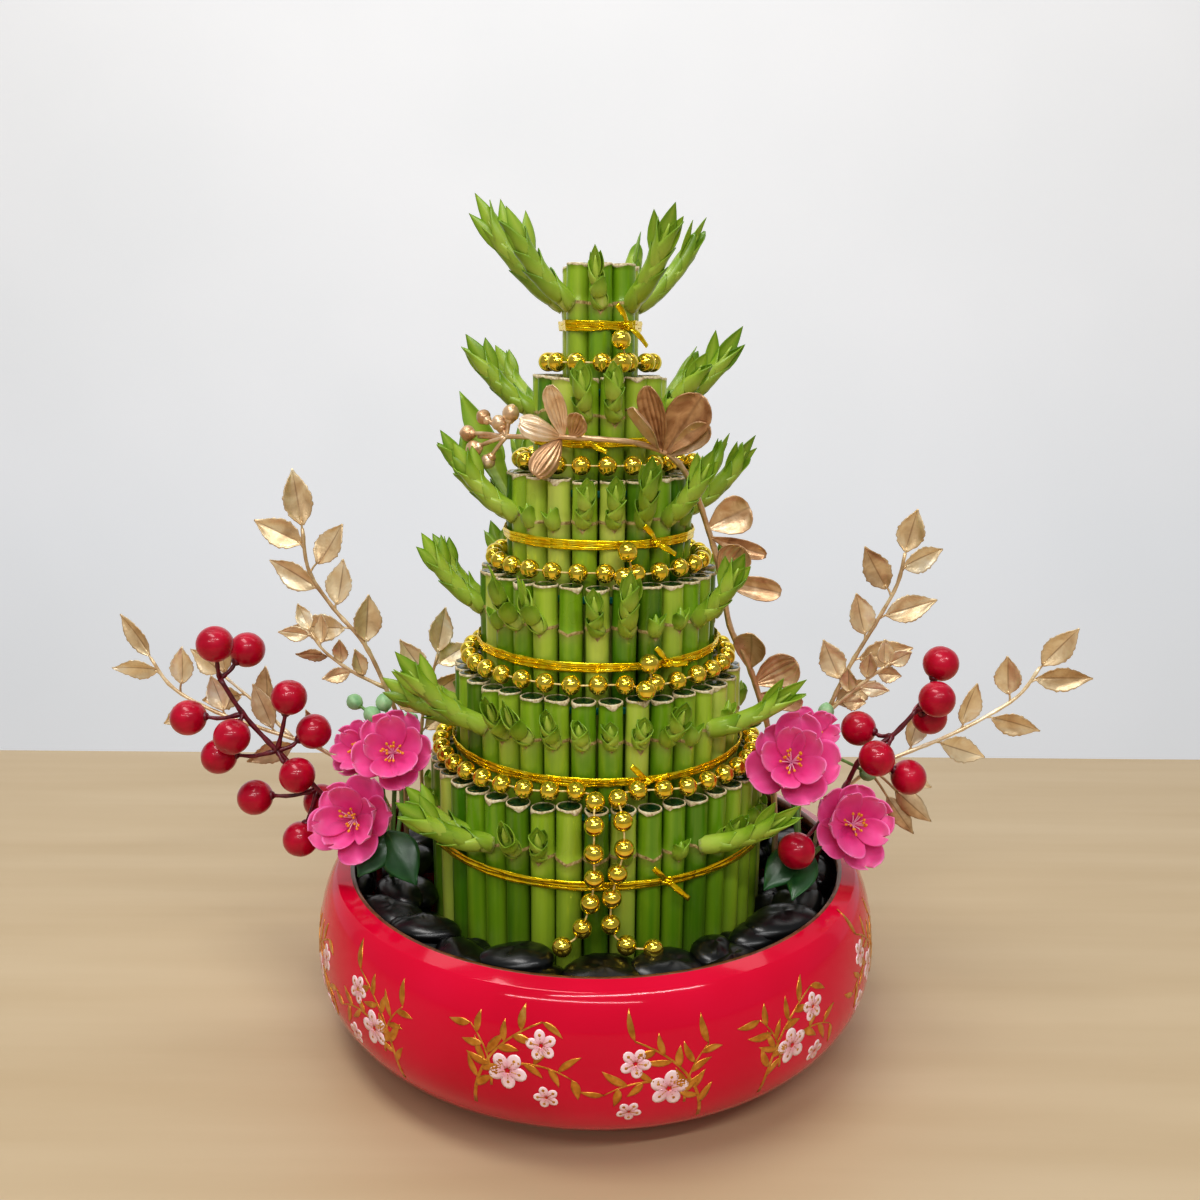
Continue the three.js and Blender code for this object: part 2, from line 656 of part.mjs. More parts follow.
const LEFT = {
  tall: {
    route: flat(12, [
      [-90, 42], [-90, 80], [-90, 105], [-91, 127], [-98, 148], [-107, 168], [-120, 184], [-130, 201],
      [-132, 220],
    ]),
    radius: 1.3, leaves: 6, bare: 0.67, length: 28, width: 13,
  },
  tallTwig: {
    route: flat(12, [[-97, 146], [-112, 155, -3], [-124, 166, -6], [-129, 174, -6]]),
    radius: 0.9, leaves: 6, bare: 0.25, length: 15, width: 7.5,
  },
  low: {
    route: flat(4, [
      [-95, 42], [-95, 80], [-98, 95], [-110, 108], [-128, 120], [-153, 129], [-176, 138], [-193, 149],
      [-201, 162],
    ]),
    radius: 1.2, leaves: 8, bare: 0.5, length: 24, width: 10.5,
  },
  lowTwig: {
    route: flat(4, [[-139, 124.5], [-153, 136, 5], [-172, 152, 8]]),
    radius: 0.9, leaves: 3, bare: 0.4, length: 24, width: 11.5,
  },
  back: {
    route: flat(30, [[-85, 42], [-85, 80], [-85, 115], [-83, 131], [-76, 157]]),
    radius: 1.1, leaves: 5, bare: 0.66, length: 24, width: 11.5,
  },
  berryTrunk: flat(-14, [
    [-98, 42], [-98, 66], [-99, 79], [-112, 91], [-124, 107], [-141, 125], [-155, 142], [-164, 158],
  ]),
  berries: [
    [3, vec(-163, -20, 175)], [3, vec(-155, -3, 168)], [2, vec(-179, -14, 140)],
    [2, vec(-157, -24, 135)], [1, vec(-166, -16, 123)], [1, vec(-135, -12, 149)],
    [1, vec(-126, -8, 132)], [1, vec(-131, -20, 116)], [0, vec(-152, -14, 103)],
    [0, vec(-131, -20, 86)], [0, vec(-125, -6, 98)],
  ],
  blossoms: [
    ['front', vec(-103, -31, 101), vec(-0.15, -0.9, 0.35), 18.5],
    ['top', vec(-85, -38, 133), vec(0.1, -0.85, 0.5), 17.5],
    ['back', vec(-105, -4, 122), vec(-0.3, -0.8, 0.4), 13.5],
  ],
  wireRoot: vec(-90, -26, 42),
  budWire: [vec(-88, -8, 100), vec(-92, -4, 130)],
  buds: [vec(-110, 4, 142), vec(-101, -2, 138), vec(-96, 0, 143), vec(-84, -4, 136)],
  leaves: [[vec(-90, -33, 96), vec(-76, -45, 77), 17], [vec(-91, -33, 95), vec(-101, -42, 79), 15]],
};

const RIGHT = {
  tall: {
    route: flat(12, [
      [95, 42], [95, 80], [96, 103], [102, 124], [107.5, 140], [115, 158], [126, 179], [134.5, 197],
      [137, 211],
    ]),
    radius: 1.3, leaves: 7, bare: 0.56, length: 27, width: 12.5,
  },
  tallTwig: {
    route: flat(12, [[105, 135], [120, 151, -4], [131, 161, -6]]),
    radius: 0.9, leaves: 6, bare: 0.25, length: 15, width: 8,
  },
  low: {
    route: flat(4, [
      [102, 42], [102, 76], [109, 95], [126, 112], [140, 119], [158, 127], [176, 137], [191, 148],
      [199, 161],
    ]),
    radius: 1.2, leaves: 7, bare: 0.5, length: 26, width: 12,
  },
  foot: [[vec(126, 4, 112), vec(153, -3, 89), 9], [vec(125, 4, 111), vec(146, -1, 82), 8]],
  berryTrunk: flat(-13, [
    [99, 42], [99, 66], [100, 79], [106, 92], [112, 113], [118, 125], [130, 134], [140, 146],
  ]),
  berries: [
    [3, vec(151, -6, 165)], [3, vec(146, -20, 153)], [3, vec(148, -5, 140)], [2, vec(117, -4, 134)],
    [2, vec(121, -23, 127)], [1, vec(138, -14, 115)], [0, vec(84, -45, 94)],
  ],
  blossoms: [
    ['front', vec(110, -29, 99), vec(0.1, -0.92, 0.38), 19],
    ['top', vec(81, -40, 131), vec(-0.1, -0.85, 0.5), 18.5],
    ['back', vec(94, -5, 131), vec(0.3, -0.8, 0.5), 13],
  ],
  wireRoot: vec(90, -26, 42),
  budWire: [vec(92, -5, 100), vec(102, -2, 122)],
  buds: [vec(104, 5, 139), vec(123, -2, 112)],
  leaves: [[vec(89, -32, 91), vec(71, -45, 76), 15], [vec(92, -32, 88), vec(82, -52, 75), 13]],
};

function goldSprays(group, hand) {
  const random = draws(hand === 'left' ? 11 : 23);
  const fused = (...rows) => rows.filter((row) => row).map((row) => spray(row, random));
  place(`gold_spray_${hand}_tall`, join(fused(group.tall, group.tallTwig)), COLOURS.gold);
  const feet = (group.foot ?? []).map(([root, tip, width]) => (
    blade(root, tip, vec(1, 0, 1), width, GOLD_LEAF_THICK, LEAF_STATIONS)
  ));
  place(`gold_spray_${hand}_low`, join([...fused(group.low, group.lowTwig), ...feet]), COLOURS.gold);
  if (group.back) place(`gold_spray_${hand}_back`, join(fused(group.back)), COLOURS.gold);
}

// The green wire parts at a knee into one wire for each blossom, the bud wire and the leaves.
function blossomStem(group) {
  const knee = group.wireRoot.clone().setZ(WIRE.knee);
  const wires = [
    rod([group.wireRoot, knee], WIRE.radius, 1, 4),
    rod([from(knee, up, -2), ...group.budWire], WIRE.radius, 3, 3),
  ];
  for (const [, centre, facing] of group.blossoms) {
    const axis = facing.clone().normalize();
    const seat = from(centre, axis, -BLOSSOM.seat);
    wires.push(rod([from(knee, up, -1), from(seat, axis, -BLOSSOM.neck), seat], 1, 3, 3));
  }
  for (const bud of group.buds) {
    wires.push(rod([group.budWire.at(-1), bud], 0.8, 1, 3), ball(bud, WIRE.bud, 4, 2));
  }
  for (const [root, tip, width] of group.leaves) {
    wires.push(blade(root, tip, vec(1, 0, 0.2), width, 1, BROAD_LEAF, 1));
    wires.push(rod([from(knee, up, -3), root.clone().lerp(tip, 0.05)], 1, 1, 3));
  }
  return join(wires);
}

function pickGroup(group, hand) {
  goldSprays(group, hand);
  const forks = group.berryTrunk.slice(-4);
  const twigs = group.berries.map(([fork, berry]) => [forks[fork], berry]);
  place(`berries_${hand}`, berrySpray(group.berryTrunk, twigs), COLOURS.berry);
  for (const [spot, centre, facing, radius] of group.blossoms) {
    place(`blossom_${hand}_${spot}`, blossom(centre, facing, radius, 10 * radius), COLOURS.petal);
  }
  place(`blossom_stem_${hand}`, blossomStem(group), COLOURS.wire);
}

const COPPER = {
  radius: 1.3,
  route: [
    vec(83, 3, 42), vec(83, 3, 80), vec(81, 2, 104), vec(77, -3, 132), vec(71, -8, 151),
    vec(64, -13, 169), vec(57, -14, 182), vec(53, -15, 200), vec(50, -15, 213), vec(45, -16, 228),
    vec(39, -22, 243), vec(30, -28, 256), vec(16, -32, 262), vec(0, -35, 264),
    vec(-16, -33, 264.5), vec(-30, -26, 264), vec(-50, -12, 263),
  ],
  leaves: [
    [vec(25, -30, 258.5), vec(18.5, -40, 285), 11], [vec(24, -30.5, 259), vec(13, -44, 277), 11],
    [vec(26, -29.5, 258), vec(40, -39, 281.5), 17], [vec(28, -29, 257), vec(43, -38, 270), 10],
    [vec(-14, -33, 264), vec(-19, -39, 285), 9], [vec(-15, -33, 264.5), vec(-31, -39, 271), 11],
    [vec(-15, -33, 264), vec(-25, -41, 250), 11], [vec(-11, -33.5, 264), vec(-7, -44, 274), 9],
    [vec(46, -16, 226), vec(63, -16, 235), 16], [vec(47, -16, 222), vec(71, -14, 214), 7],
    [vec(52, -15, 205), vec(60, -20, 219), 14], [vec(53, -15, 203), vec(78, -14, 198), 10],
    [vec(66, -12, 164), vec(65, -21, 182), 14], [vec(69, -9, 156), vec(86, -14, 168), 16],
    [vec(71, -8, 151), vec(90, -12, 148), 10],
  ],
  fork: vec(-38, -21, 263.5),
  buds: [
    vec(-55, -9, 264), vec(-48, -12, 271), vec(-36, -20, 273), vec(-46, -16, 253), vec(-41, -18, 269),
    vec(-52, -14, 258),
  ],
};

function makeCopperBranch() {
  const pieces = [rod(COPPER.route, COPPER.radius, 18, 4)];
  for (const [root, tip, width] of COPPER.leaves) {
    pieces.push(blade(root, tip, vec(1, 0, -1), width, 1, ROUND_LEAF, 1.5));
  }
  for (const bud of COPPER.buds) {
    pieces.push(rod([COPPER.fork, bud], 0.9, 1, 3), ball(bud, 3, 4, 2));
  }
  place('copper_branch', join(pieces), COLOURS.copper);
}

const sprays = [LEFT.tall, LEFT.low, LEFT.back, RIGHT.tall, RIGHT.low];
const stemRoots = [
  ...sprays.map(({ route, radius }) => [route[0], radius]),
  ...[LEFT, RIGHT].map((group) => [group.berryTrunk[0], BERRY.wire]),
  ...[LEFT, RIGHT].map((group) => [group.wireRoot, WIRE.radius]),
  [COPPER.route[0], COPPER.radius],
];

makeBowl();
makePebbles(stemRoots);
TIERS.forEach((tier, i) => makeTier(tier, i + 1));
makeCentreStalk();
TIERS.forEach((tier, i) => makeTie(tier, i + 1));
TIERS.slice(1).forEach((tier, i) => makeInnerBand(tier, i + 2));
TIERS.slice(1).forEach((tier, i) => makeBeads(i + 2));
pickGroup(LEFT, 'left');
pickGroup(RIGHT, 'right');
makeCopperBranch();

export default model;
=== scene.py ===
"""Looks of a tower of lucky bamboo in a round red bowl with black pebbles, gold ties and beads, and sprays.

Lengths are in millimetres until a piece is made. +Z is up and -Y is the front. An azimuth is in degrees
from the front, and grows towards +X. The places of the stalks, shoots, strings and sprays follow the same
rules and the same seeded draws as the solids do.
"""
import math
from functools import lru_cache

import bpy
import numpy as np
from mathutils import Matrix


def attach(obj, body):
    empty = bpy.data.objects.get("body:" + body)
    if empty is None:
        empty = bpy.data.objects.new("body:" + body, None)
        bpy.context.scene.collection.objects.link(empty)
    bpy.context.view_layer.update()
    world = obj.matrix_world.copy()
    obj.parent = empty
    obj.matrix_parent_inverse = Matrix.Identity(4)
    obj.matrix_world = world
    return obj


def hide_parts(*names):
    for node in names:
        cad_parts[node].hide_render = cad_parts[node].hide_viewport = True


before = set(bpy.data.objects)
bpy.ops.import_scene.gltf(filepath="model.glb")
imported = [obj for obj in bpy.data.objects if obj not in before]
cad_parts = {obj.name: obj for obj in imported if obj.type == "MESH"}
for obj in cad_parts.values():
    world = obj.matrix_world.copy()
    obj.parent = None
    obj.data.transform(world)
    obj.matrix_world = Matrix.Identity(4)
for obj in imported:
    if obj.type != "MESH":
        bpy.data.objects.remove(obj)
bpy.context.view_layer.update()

# ---- sizes ----

MM = 0.001
BOWL = {"foot": 68, "belly": 126, "belly_height": 39.3, "shoulder": 33.2, "rim": 112.2, "rim_height": 74.5,
        "power": 2.23}
STALK = {"radius": 5.25, "bottom": 5.3, "uneven_top": 1.6, "corner": 5.75, "overlap": 0.2, "sides": 22}
# A tier's stalks, its ring's radius, the heights of its tops, nodes and tie, the share of its stalks with a
# shoot, a shoot's length at the front and at the sides, its lean at the sides, and the azimuths of the tie's
# knot and of the join of the bead string.
TIER_KEYS = ("stalks", "ring", "top", "node", "tie", "share", "front", "side", "lean", "knot", "join")
TIER_ROWS = [
    (41, 70.2, 124, 103.5, 92.9, 0.66, 14, 34, 52, 22, None),
    (34, 58.6, 164.6, 146.5, 131.5, 0.66, 14, 36, 50, 18, 3),
    (27, 46.9, 207.4, 189.6, 175.3, 0.72, 27, 40, 38, 32, 18),
    (20, 35.2, 248.8, 230.9, 222.5, 0.85, 24, 42, 42, 34, 12),
    (14, 23.5, 289, 272.3, 262, 0.8, 20, 44, 42, -9, 70),
    (7, 11.8, 333, 316.2, 308, 0.9, 24, 52, 40, 38, 18),
]
# The azimuths between which a tier has no shoots, and its tall shoots: azimuth, length, and the azimuth and
# the angle of their lean.
CLEAR = [[(-9, 16), (55, 125), (-135, -58)], [(58, 118), (-135, -92)], [(62, 92)], [(55, 88)],
         [(22, 62), (-50, -18)], []]
TALL = [[(-44, 36, -78, 48), (-35, 46, -66, 58), (35, 47, 68, 59)],
        [(-58, 42, -84, 62), (-48, 50, -74, 46), (48, 46, 76, 58)], [], [], [], []]
TIERS = [dict(zip(TIER_KEYS, row), clear=clear, tall=tall)
         for row, clear, tall in zip(TIER_ROWS, CLEAR, TALL)]
SHOOT = {"sink": 2.2, "knee": 20, "twist": 36, "front_lean": 24, "shortest": 0.8, "range": 0.35}
SHEATH = {"fewest": 3, "pitch": 8, "last": 0.6, "shortest": 7, "end": 0.9, "thick": 0.4}
LONG_LEAF = {"tier": 4, "root": (-36.5, -5.8, 234), "tip": (-59.5, 2, 281), "width": 12}
TIE = {"tail": 11, "drop": 8, "out": 2.5, "strand": 1.7, "foil": 0.22, "lift": 0.7, "lift_more": 0.16,
       "wobble": 0.22, "apart": 1.2, "overlap": 6, "loops": 5, "loop": 1.5, "tail_width": 2.2}
BAND = {"height": 3, "thick": 0.6, "below": 9}
BEAD = {"radius": 4, "pitch": 10.7, "thread": 0.42}
STRING = {"clear": 0.9, "clear_lowest": 2.2, "lift": 0.4, "half_join": 5.4, "turns": 16}
FRONT_RIGHT = [(22.5, -87, 72.5), (14, -86, 72.5), (7, -84, 77), (6, -82.5, 88), (8, -82.5, 100),
               (10.8, -82.5, 112), (10, -79, 124)]
FRONT_LEFT = [(-0.8, -79, 124), (-0.8, -82.5, 112), (-0.8, -82.5, 96), (-2.8, -82.5, 86), (-6.8, -84, 76),
              (-12.8, -86, 72.5)]
BERRY = {"radius": 7.8, "wire": 1.1}
BLOSSOM = {"seat": 1.2, "petals": 5, "twist": 24, "shortest": 0.88, "range": 0.16, "lift": 0.26,
           "stamens": 15}

UP = np.array([0.0, 0.0, 1.0])
FRONT = np.array([0.0, -1.0, 0.0])


# ---- small tools ----

def draws(seed):
    """The same plain generator as the solids use: numbers from 0 to 1."""
    state = seed

    def draw():
        nonlocal state
        state = (state * 16807) % 2147483647
        return state / 2147483647

    return draw


def vec(*numbers):
    return np.array(numbers, float)


def unit(vector):
    return vector / max(np.linalg.norm(vector), 1e-9)


def unit_rows(vectors):
    return vectors / np.maximum(np.linalg.norm(vectors, axis=-1), 1e-9)[..., None]


def outward(azimuth):
    turn = math.radians(azimuth)
    return vec(math.sin(turn), -math.cos(turn), 0)


def sideways(azimuth):
    turn = math.radians(azimuth)
    return vec(math.cos(turn), math.sin(turn), 0)


def polar(azimuth, radius, height):
    return outward(azimuth) * radius + UP * height


def all_round(count):
    """Even angles all the way round."""
    return 2 * np.pi * np.arange(count) / count


def read_off(values, pairs):
    """Values read between the pairs of a list."""
    return np.interp(values, *zip(*pairs))


# ---- routes ----

def even_steps(points, count):
    """Points at even steps along a line of points, as many as count + 1."""
    lengths = np.linalg.norm(np.diff(points, axis=0), axis=1)
    reach = np.concatenate([[0], np.cumsum(lengths)])
    wanted = np.linspace(0, reach[-1], count + 1)
    return np.stack([np.interp(wanted, reach, points[:, i]) for i in range(3)], axis=1)


def smooth_line(points, fine=24):
    """A fine line along the centripetal Catmull-Rom curve through the points."""
    points = [np.array(p, float) for p in points]
    padded = [2 * points[0] - points[1], *points, 2 * points[-1] - points[-2]]
    line = []
    for p0, p1, p2, p3 in zip(padded, padded[1:], padded[2:], padded[3:]):
        d0, d1, d2 = (np.linalg.norm(b - a) ** 0.5 for a, b in ((p0, p1), (p1, p2), (p2, p3)))
        slope1 = ((p1 - p0) / d0 - (p2 - p0) / (d0 + d1) + (p2 - p1) / d1) * d1
        slope2 = ((p2 - p1) / d1 - (p3 - p1) / (d1 + d2) + (p3 - p2) / d2) * d1
        square = -3 * p1 + 3 * p2 - 2 * slope1 - slope2
        cube = 2 * p1 - 2 * p2 + slope1 + slope2
        line += [p1 + slope1 * t + square * t * t + cube * t ** 3 for t in np.arange(fine) / fine]
    line.append(points[-1])
    return np.array(line)


def smooth_route(points, count):
    return even_steps(smooth_line(points), count)


def length_of(line):
    return np.linalg.norm(np.diff(line, axis=0), axis=1).sum()


def frames(route):
    """Two directions across a route at each of its points, with no sudden turn."""
    along = unit_rows(np.gradient(route, axis=0))
    across = unit(np.cross(along[0], UP if abs(along[0][2]) < 0.9 else FRONT))
    sides = []
    for direction in along:
        across = unit(across - direction * across.dot(direction))
        sides.append(across)
    return np.array(sides), np.cross(along, sides)


# ---- closed surfaces ----

@lru_cache(maxsize=None)
def grid_faces(rows, columns, around=False):
    wide = columns if around else columns - 1
    r, c = np.meshgrid(np.arange(rows - 1), np.arange(wide), indexing="ij")
    r, c = r.ravel(), c.ravel()
    d = (c + 1) % columns
    return np.stack([r * columns + c, r * columns + d, (r + 1) * columns + d, (r + 1) * columns + c], axis=1)


def fan(ring, centre):
    """Triangles from a ring of point numbers to a centre. A triangle has -1 as its fourth number."""
    after = np.roll(ring, -1)
    return np.stack([ring, after, np.full(len(ring), centre), np.full(len(ring), -1)], axis=1)


def closed_tube(rings):
    """Points and faces of a skin over rings of points, closed with a fan at either end."""
    rows, columns = rings.shape[:2]
    count = rows * columns
    points = np.concatenate([rings.reshape(-1, 3), [rings[0].mean(0)], [rings[-1].mean(0)]])
    first = fan(np.arange(columns)[::-1], count)
    last = fan(np.arange(columns) + (rows - 1) * columns, count + 1)
    return points, np.concatenate([grid_faces(rows, columns, True), first, last])


def tube(route, radii, sides=8):
    route = np.asarray(route, float)
    radii = np.broadcast_to(np.asarray(radii, float), len(route))
    across, rise = frames(route)
    turn = all_round(sides)[None, :, None]
    ring = np.cos(turn) * across[:, None] + np.sin(turn) * rise[:, None]
    return closed_tube(route[:, None] + ring * radii[:, None, None])


def turned(profile, sides, centre=(0, 0, 0), axis=UP):
    """A round body about an axis. The profile's points are radius and height, from near the axis and back."""
    axis = unit(np.asarray(axis, float))
    right = unit(np.cross(axis, FRONT if abs(axis[1]) < 0.9 else UP))
    top = np.cross(axis, right)
    turn = all_round(sides)
    spokes = np.cos(turn)[:, None] * right + np.sin(turn)[:, None] * top
    rings = np.array([spokes * radius + axis * height for radius, height in profile])
    return closed_tube(rings + np.asarray(centre, float))


def loop(route, section):
    """A closed band round a closed route. The section is a list of distances outward and up."""
    out = unit_rows(route * [1, 1, 0])
    rings = np.array([[p + o * a + UP * b for a, b in section] for p, o in zip(route, out)])
    rows, columns = rings.shape[:2]
    faces = grid_faces(rows + 1, columns, True) % (rows * columns)
    return rings.reshape(-1, 3), faces


def thick_sheet(grid, thickness):
    """A closed skin round a grid of points."""
    rows, columns = grid.shape[:2]
    count = rows * columns
    normal = unit_rows(np.cross(np.gradient(grid, axis=0), np.gradient(grid, axis=1)))
    under = grid - normal * thickness
    top = grid_faces(rows, columns)
    numbers = np.arange(count).reshape(rows, columns)
    edge = np.concatenate([numbers[0], numbers[1:, -1], numbers[-1, -2::-1], numbers[-2:0:-1, 0]])
    after = np.roll(edge, -1)
    rim = np.stack([after, edge, edge + count, after + count], axis=1)
    points = np.concatenate([grid.reshape(-1, 3), under.reshape(-1, 3)])
    return points, np.concatenate([top, top[:, ::-1] + count, rim])


def faced_out(points, faces):
    """The faces, turned the other way round where they enclose a negative volume."""
    a, b, c = points[faces[:, 0]], points[faces[:, 1]], points[faces[:, 2]]
    volume = np.einsum("ij,ij->i", a, np.cross(b, c)).sum()
    four = faces[:, 3] >= 0
    d = points[faces[four, 3]]
    volume += np.einsum("ij,ij->i", a[four], np.cross(c[four], d)).sum()
    if volume >= 0:
        return faces
    return np.stack([faces[:, 2], faces[:, 1], faces[:, 0], faces[:, 3]], axis=1)


class Shell:
    """Closed surfaces that become one piece. Each has a material slot and two numbers for its colour: tone,
    which differs from surface to surface, and along, which runs over the surface."""

    def __init__(self):
        self.points, self.faces, self.slots, self.tones, self.alongs = [], [], [], [], []
        self.count = 0

    def add(self, surface, slot=0, tone=0.5, along=0.5):
        points, faces = surface
        faces = faced_out(points, faces)
        self.points.append(points)
        self.faces.append(np.where(faces >= 0, faces + self.count, -1))
        self.slots.append(np.broadcast_to(slot, len(faces)))
        self.tones.append(np.broadcast_to(tone, len(points)))
        self.alongs.append(np.broadcast_to(along, len(points)))
        self.count += len(points)

    def make(self, name, paints, slot, *nodes):
        """The piece, with its materials in the order of the surfaces' slots."""
        mesh = bpy.data.meshes.new(name)
        faces = [tuple(f) if f[3] >= 0 else tuple(f[:3]) for f in np.concatenate(self.faces).tolist()]
        mesh.from_pydata((np.concatenate(self.points) * MM).tolist(), [], faces)
        mesh.polygons.foreach_set("material_index", np.concatenate(self.slots).astype(np.int32))
        mesh.polygons.foreach_set("use_smooth", np.ones(len(faces), bool))
        for label, values in (("tone", self.tones), ("along", self.alongs)):
            attribute = mesh.attributes.new(label, "FLOAT", "POINT")
            attribute.data.foreach_set("value", np.concatenate(values).astype(np.float32))
        for paint in paints:
            mesh.materials.append(PAINTS[paint])
        mesh.update()
        piece = bpy.data.objects.new(name, mesh)
        bpy.context.scene.collection.objects.link(piece)
        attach(piece, "root")
        if nodes:
            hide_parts(*nodes)


# ---- materials ----

PAINTS = {}


def shade(code):
    """A linear colour from a six-digit screen colour."""
    parts = [(code >> shift & 255) / 255 for shift in (16, 8, 0)]
    return (*[p / 12.92 if p <= 0.04045 else ((p + 0.055) / 1.055) ** 2.4 for p in parts], 1.0)


class Paint:
    """A node material, built up from a few plain steps."""

    def __init__(self, name, **fixed):
        PAINTS[name] = bpy.data.materials.new(name)
        PAINTS[name].use_nodes = True
        self.tree = PAINTS[name].node_tree
        self.shader = self.tree.nodes["Principled BSDF"]
        for label, value in fixed.items():
            self.shader.inputs[label.replace("_", " ")].default_value = value
        self.place = self.node("TexCoord", "Object", {})

    def feed(self, socket, value):
        if isinstance(value, bpy.types.NodeSocket):
            self.tree.links.new(value, socket)
        else:
            socket.default_value = value

    def node(self, kind, output, inputs, **settings):
        """One output of a new node, whose inputs take values or the outputs of other nodes."""
        made = self.tree.nodes.new("ShaderNode" + kind)
        for label, value in settings.items():
            setattr(made, label, value)
        for label, value in inputs.items():
            self.feed(made.inputs[label], value)
        return made.outputs[output]

    def noise(self, scale, detail, stretch=(1, 1, 1), distortion=0.0):
        place = self.node("Mapping", "Vector", {"Vector": self.place, "Scale": stretch})
        inputs = {"Vector": place, "Scale": scale, "Detail": detail, "Distortion": distortion}
        return self.node("TexNoise", "Fac", inputs)

    def cells(self, scale):
        return self.node("TexVoronoi", "Distance", {"Vector": self.place, "Scale": scale})

    def value(self, label):
        return self.node("Attribute", "Fac", {}, attribute_name=label)

    def ramp(self, factor, *stops):
        made = self.tree.nodes.new("ShaderNodeValToRGB")
        self.feed(made.inputs["Fac"], factor)
        while len(made.color_ramp.elements) < len(stops):
            made.color_ramp.elements.new(1.0)
        for element, (spot, code) in zip(made.color_ramp.elements, stops):
            element.position = spot
            element.color = shade(code)
        return made.outputs["Color"]

    def mix(self, factor, a, b):
        return self.node("Mix", 2, {0: factor, 6: a, 7: b}, data_type="RGBA")

    def maths(self, operation, a, b):
        return self.node("Math", 0, {0: a, 1: b}, operation=operation, use_clamp=True)

    def weighed(self, a, share_a, b, share_b):
        return self.maths("ADD", self.maths("MULTIPLY", a, share_a), self.maths("MULTIPLY", b, share_b))

    def spread(self, value, low, high):
        return self.node("MapRange", "Result", {"Value": value, "To Min": low, "To Max": high})

    def finish(self, colour, roughness, height=None, relief=None):
        """Feeds the shader. Relief is the distance and the strength of a bump of that height."""
        self.feed(self.shader.inputs["Base Color"], colour)
        self.feed(self.shader.inputs["Roughness"], roughness)
        if relief:
            inputs = {"Height": height, "Distance": relief[0], "Strength": relief[1]}
            self.feed(self.shader.inputs["Normal"], self.node("Bump", "Normal", inputs))


def noise_paint(name, noise, stops, roughness, relief=None, relief_noise=None, guide=None, **fixed):
    """A paint with the colours of one noise, or of an attribute where it has a guide. Its roughness is a
    number or a range along the noise, and its relief follows the noise or one of its own."""
    paint = Paint(name, **fixed)
    grain = paint.noise(*noise)
    colour = paint.ramp(paint.value(guide) if guide else grain, *stops)
    if isinstance(roughness, tuple):
        roughness = paint.spread(grain, *roughness)
    paint.finish(colour, roughness, paint.noise(*relief_noise) if relief_noise else grain, relief)


def bowl_paints():
    noise_paint("red_glaze", (14, 2), [(0.3, 0xC6042E), (0.55, 0xD60A38), (0.8, 0xE21446)], (0.07, 0.13),
                (0.0002, 0.12), (60, 2), Coat_Weight=0.25, Coat_Roughness=0.03, Specular_IOR_Level=0.2)
    noise_paint("brown_lip", (180, 4), [(0.3, 0x4A2412), (0.6, 0x7A4526), (0.8, 0x955A34)], 0.28,
                Coat_Weight=0.4, Coat_Roughness=0.1)
    noise_paint("bare_clay", (700, 4), [(0.3, 0xC9B9A2), (0.7, 0xE2D6C4)], 0.8, (0.0003, 0.4))
    noise_paint("printed_gold", (260, 3), [(0.3, 0xB87428), (0.55, 0xD8963E), (0.75, 0xEDB662)], 0.3,
                Metallic=0.75)
    noise_paint("printed_pink", (200, 2), [(0.0, 0xE79AA8), (0.45, 0xF3C9D0), (1.0, 0xFBE6E8)], (0.2, 0.32),
                guide="along", Coat_Weight=0.4, Coat_Roughness=0.08)


def pebble_paint():
    paint = Paint("black_pebble", Coat_Weight=0.12, Coat_Roughness=0.15)
    veins = paint.noise(90, 5, distortion=1.5)
    dark = paint.ramp(paint.value("tone"), (0.0, 0x060707), (0.6, 0x0A0B0C), (1.0, 0x121514))
    colour = paint.mix(paint.ramp(veins, (0.55, 0x000000), (0.8, 0x202020)), dark, shade(0x141716))
    paint.finish(colour, paint.spread(veins, 0.24, 0.34), paint.noise(60, 1), (0.0002, 0.04))


def stalk_paints():
    paint = Paint("stalk_skin", Coat_Weight=0.3, Coat_Roughness=0.15)
    streaks = paint.noise(260, 4, (1, 1, 0.03))
    blotches = paint.noise(38, 4, (1, 1, 0.5))
    tone = paint.weighed(paint.value("tone"), 0.78, paint.maths("MULTIPLY_ADD", blotches, 0.55), 0.24)
    colour = paint.ramp(tone, (0.1, 0x285806), (0.3, 0x46800A), (0.55, 0x78A61A), (0.76, 0xA2C038),
                        (0.95, 0xCEDA68))
    # Paler where along is high. Near the nodes this is the stalk's own colour. Low on the stalk it is partly
    # its own yellower green and partly painted fill light that lifts the shade there.
    pale_and_fill_light = paint.ramp(paint.value("along"), (0.3, 0x000000), (0.6, 0x242424), (1.0, 0x9A9A9A))
    colour = paint.mix(pale_and_fill_light, colour, shade(0xCACD7C))
    colour = paint.mix(0.2, colour, paint.ramp(streaks, (0.35, 0x345800), (0.65, 0xB8C434)))
    paint.finish(colour, paint.spread(blotches, 0.2, 0.4), streaks, (0.00025, 0.22))

    paint = Paint("node_scar")
    grain = paint.noise(900, 5)
    scar = paint.ramp(grain, (0.3, 0x7A6238), (0.5, 0xAE9660), (0.72, 0xD2C190))
    rim = paint.ramp(grain, (0.3, 0xA98F66), (0.5, 0xD6C6A2), (0.72, 0xF0E6CE))
    colour = paint.mix(paint.ramp(paint.value("along"), (0.3, 0x000000), (0.6, 0xFFFFFF)), rim, scar)
    paint.finish(colour, 0.75, grain, (0.0004, 0.6))

    noise_paint("sealing_wax", (300, 3), [(0.3, 0x0A2412), (0.6, 0x143A1E), (0.85, 0x285A34)], 0.16,
                (0.0003, 0.35), (500, 3), Coat_Weight=0.5, Coat_Roughness=0.06)


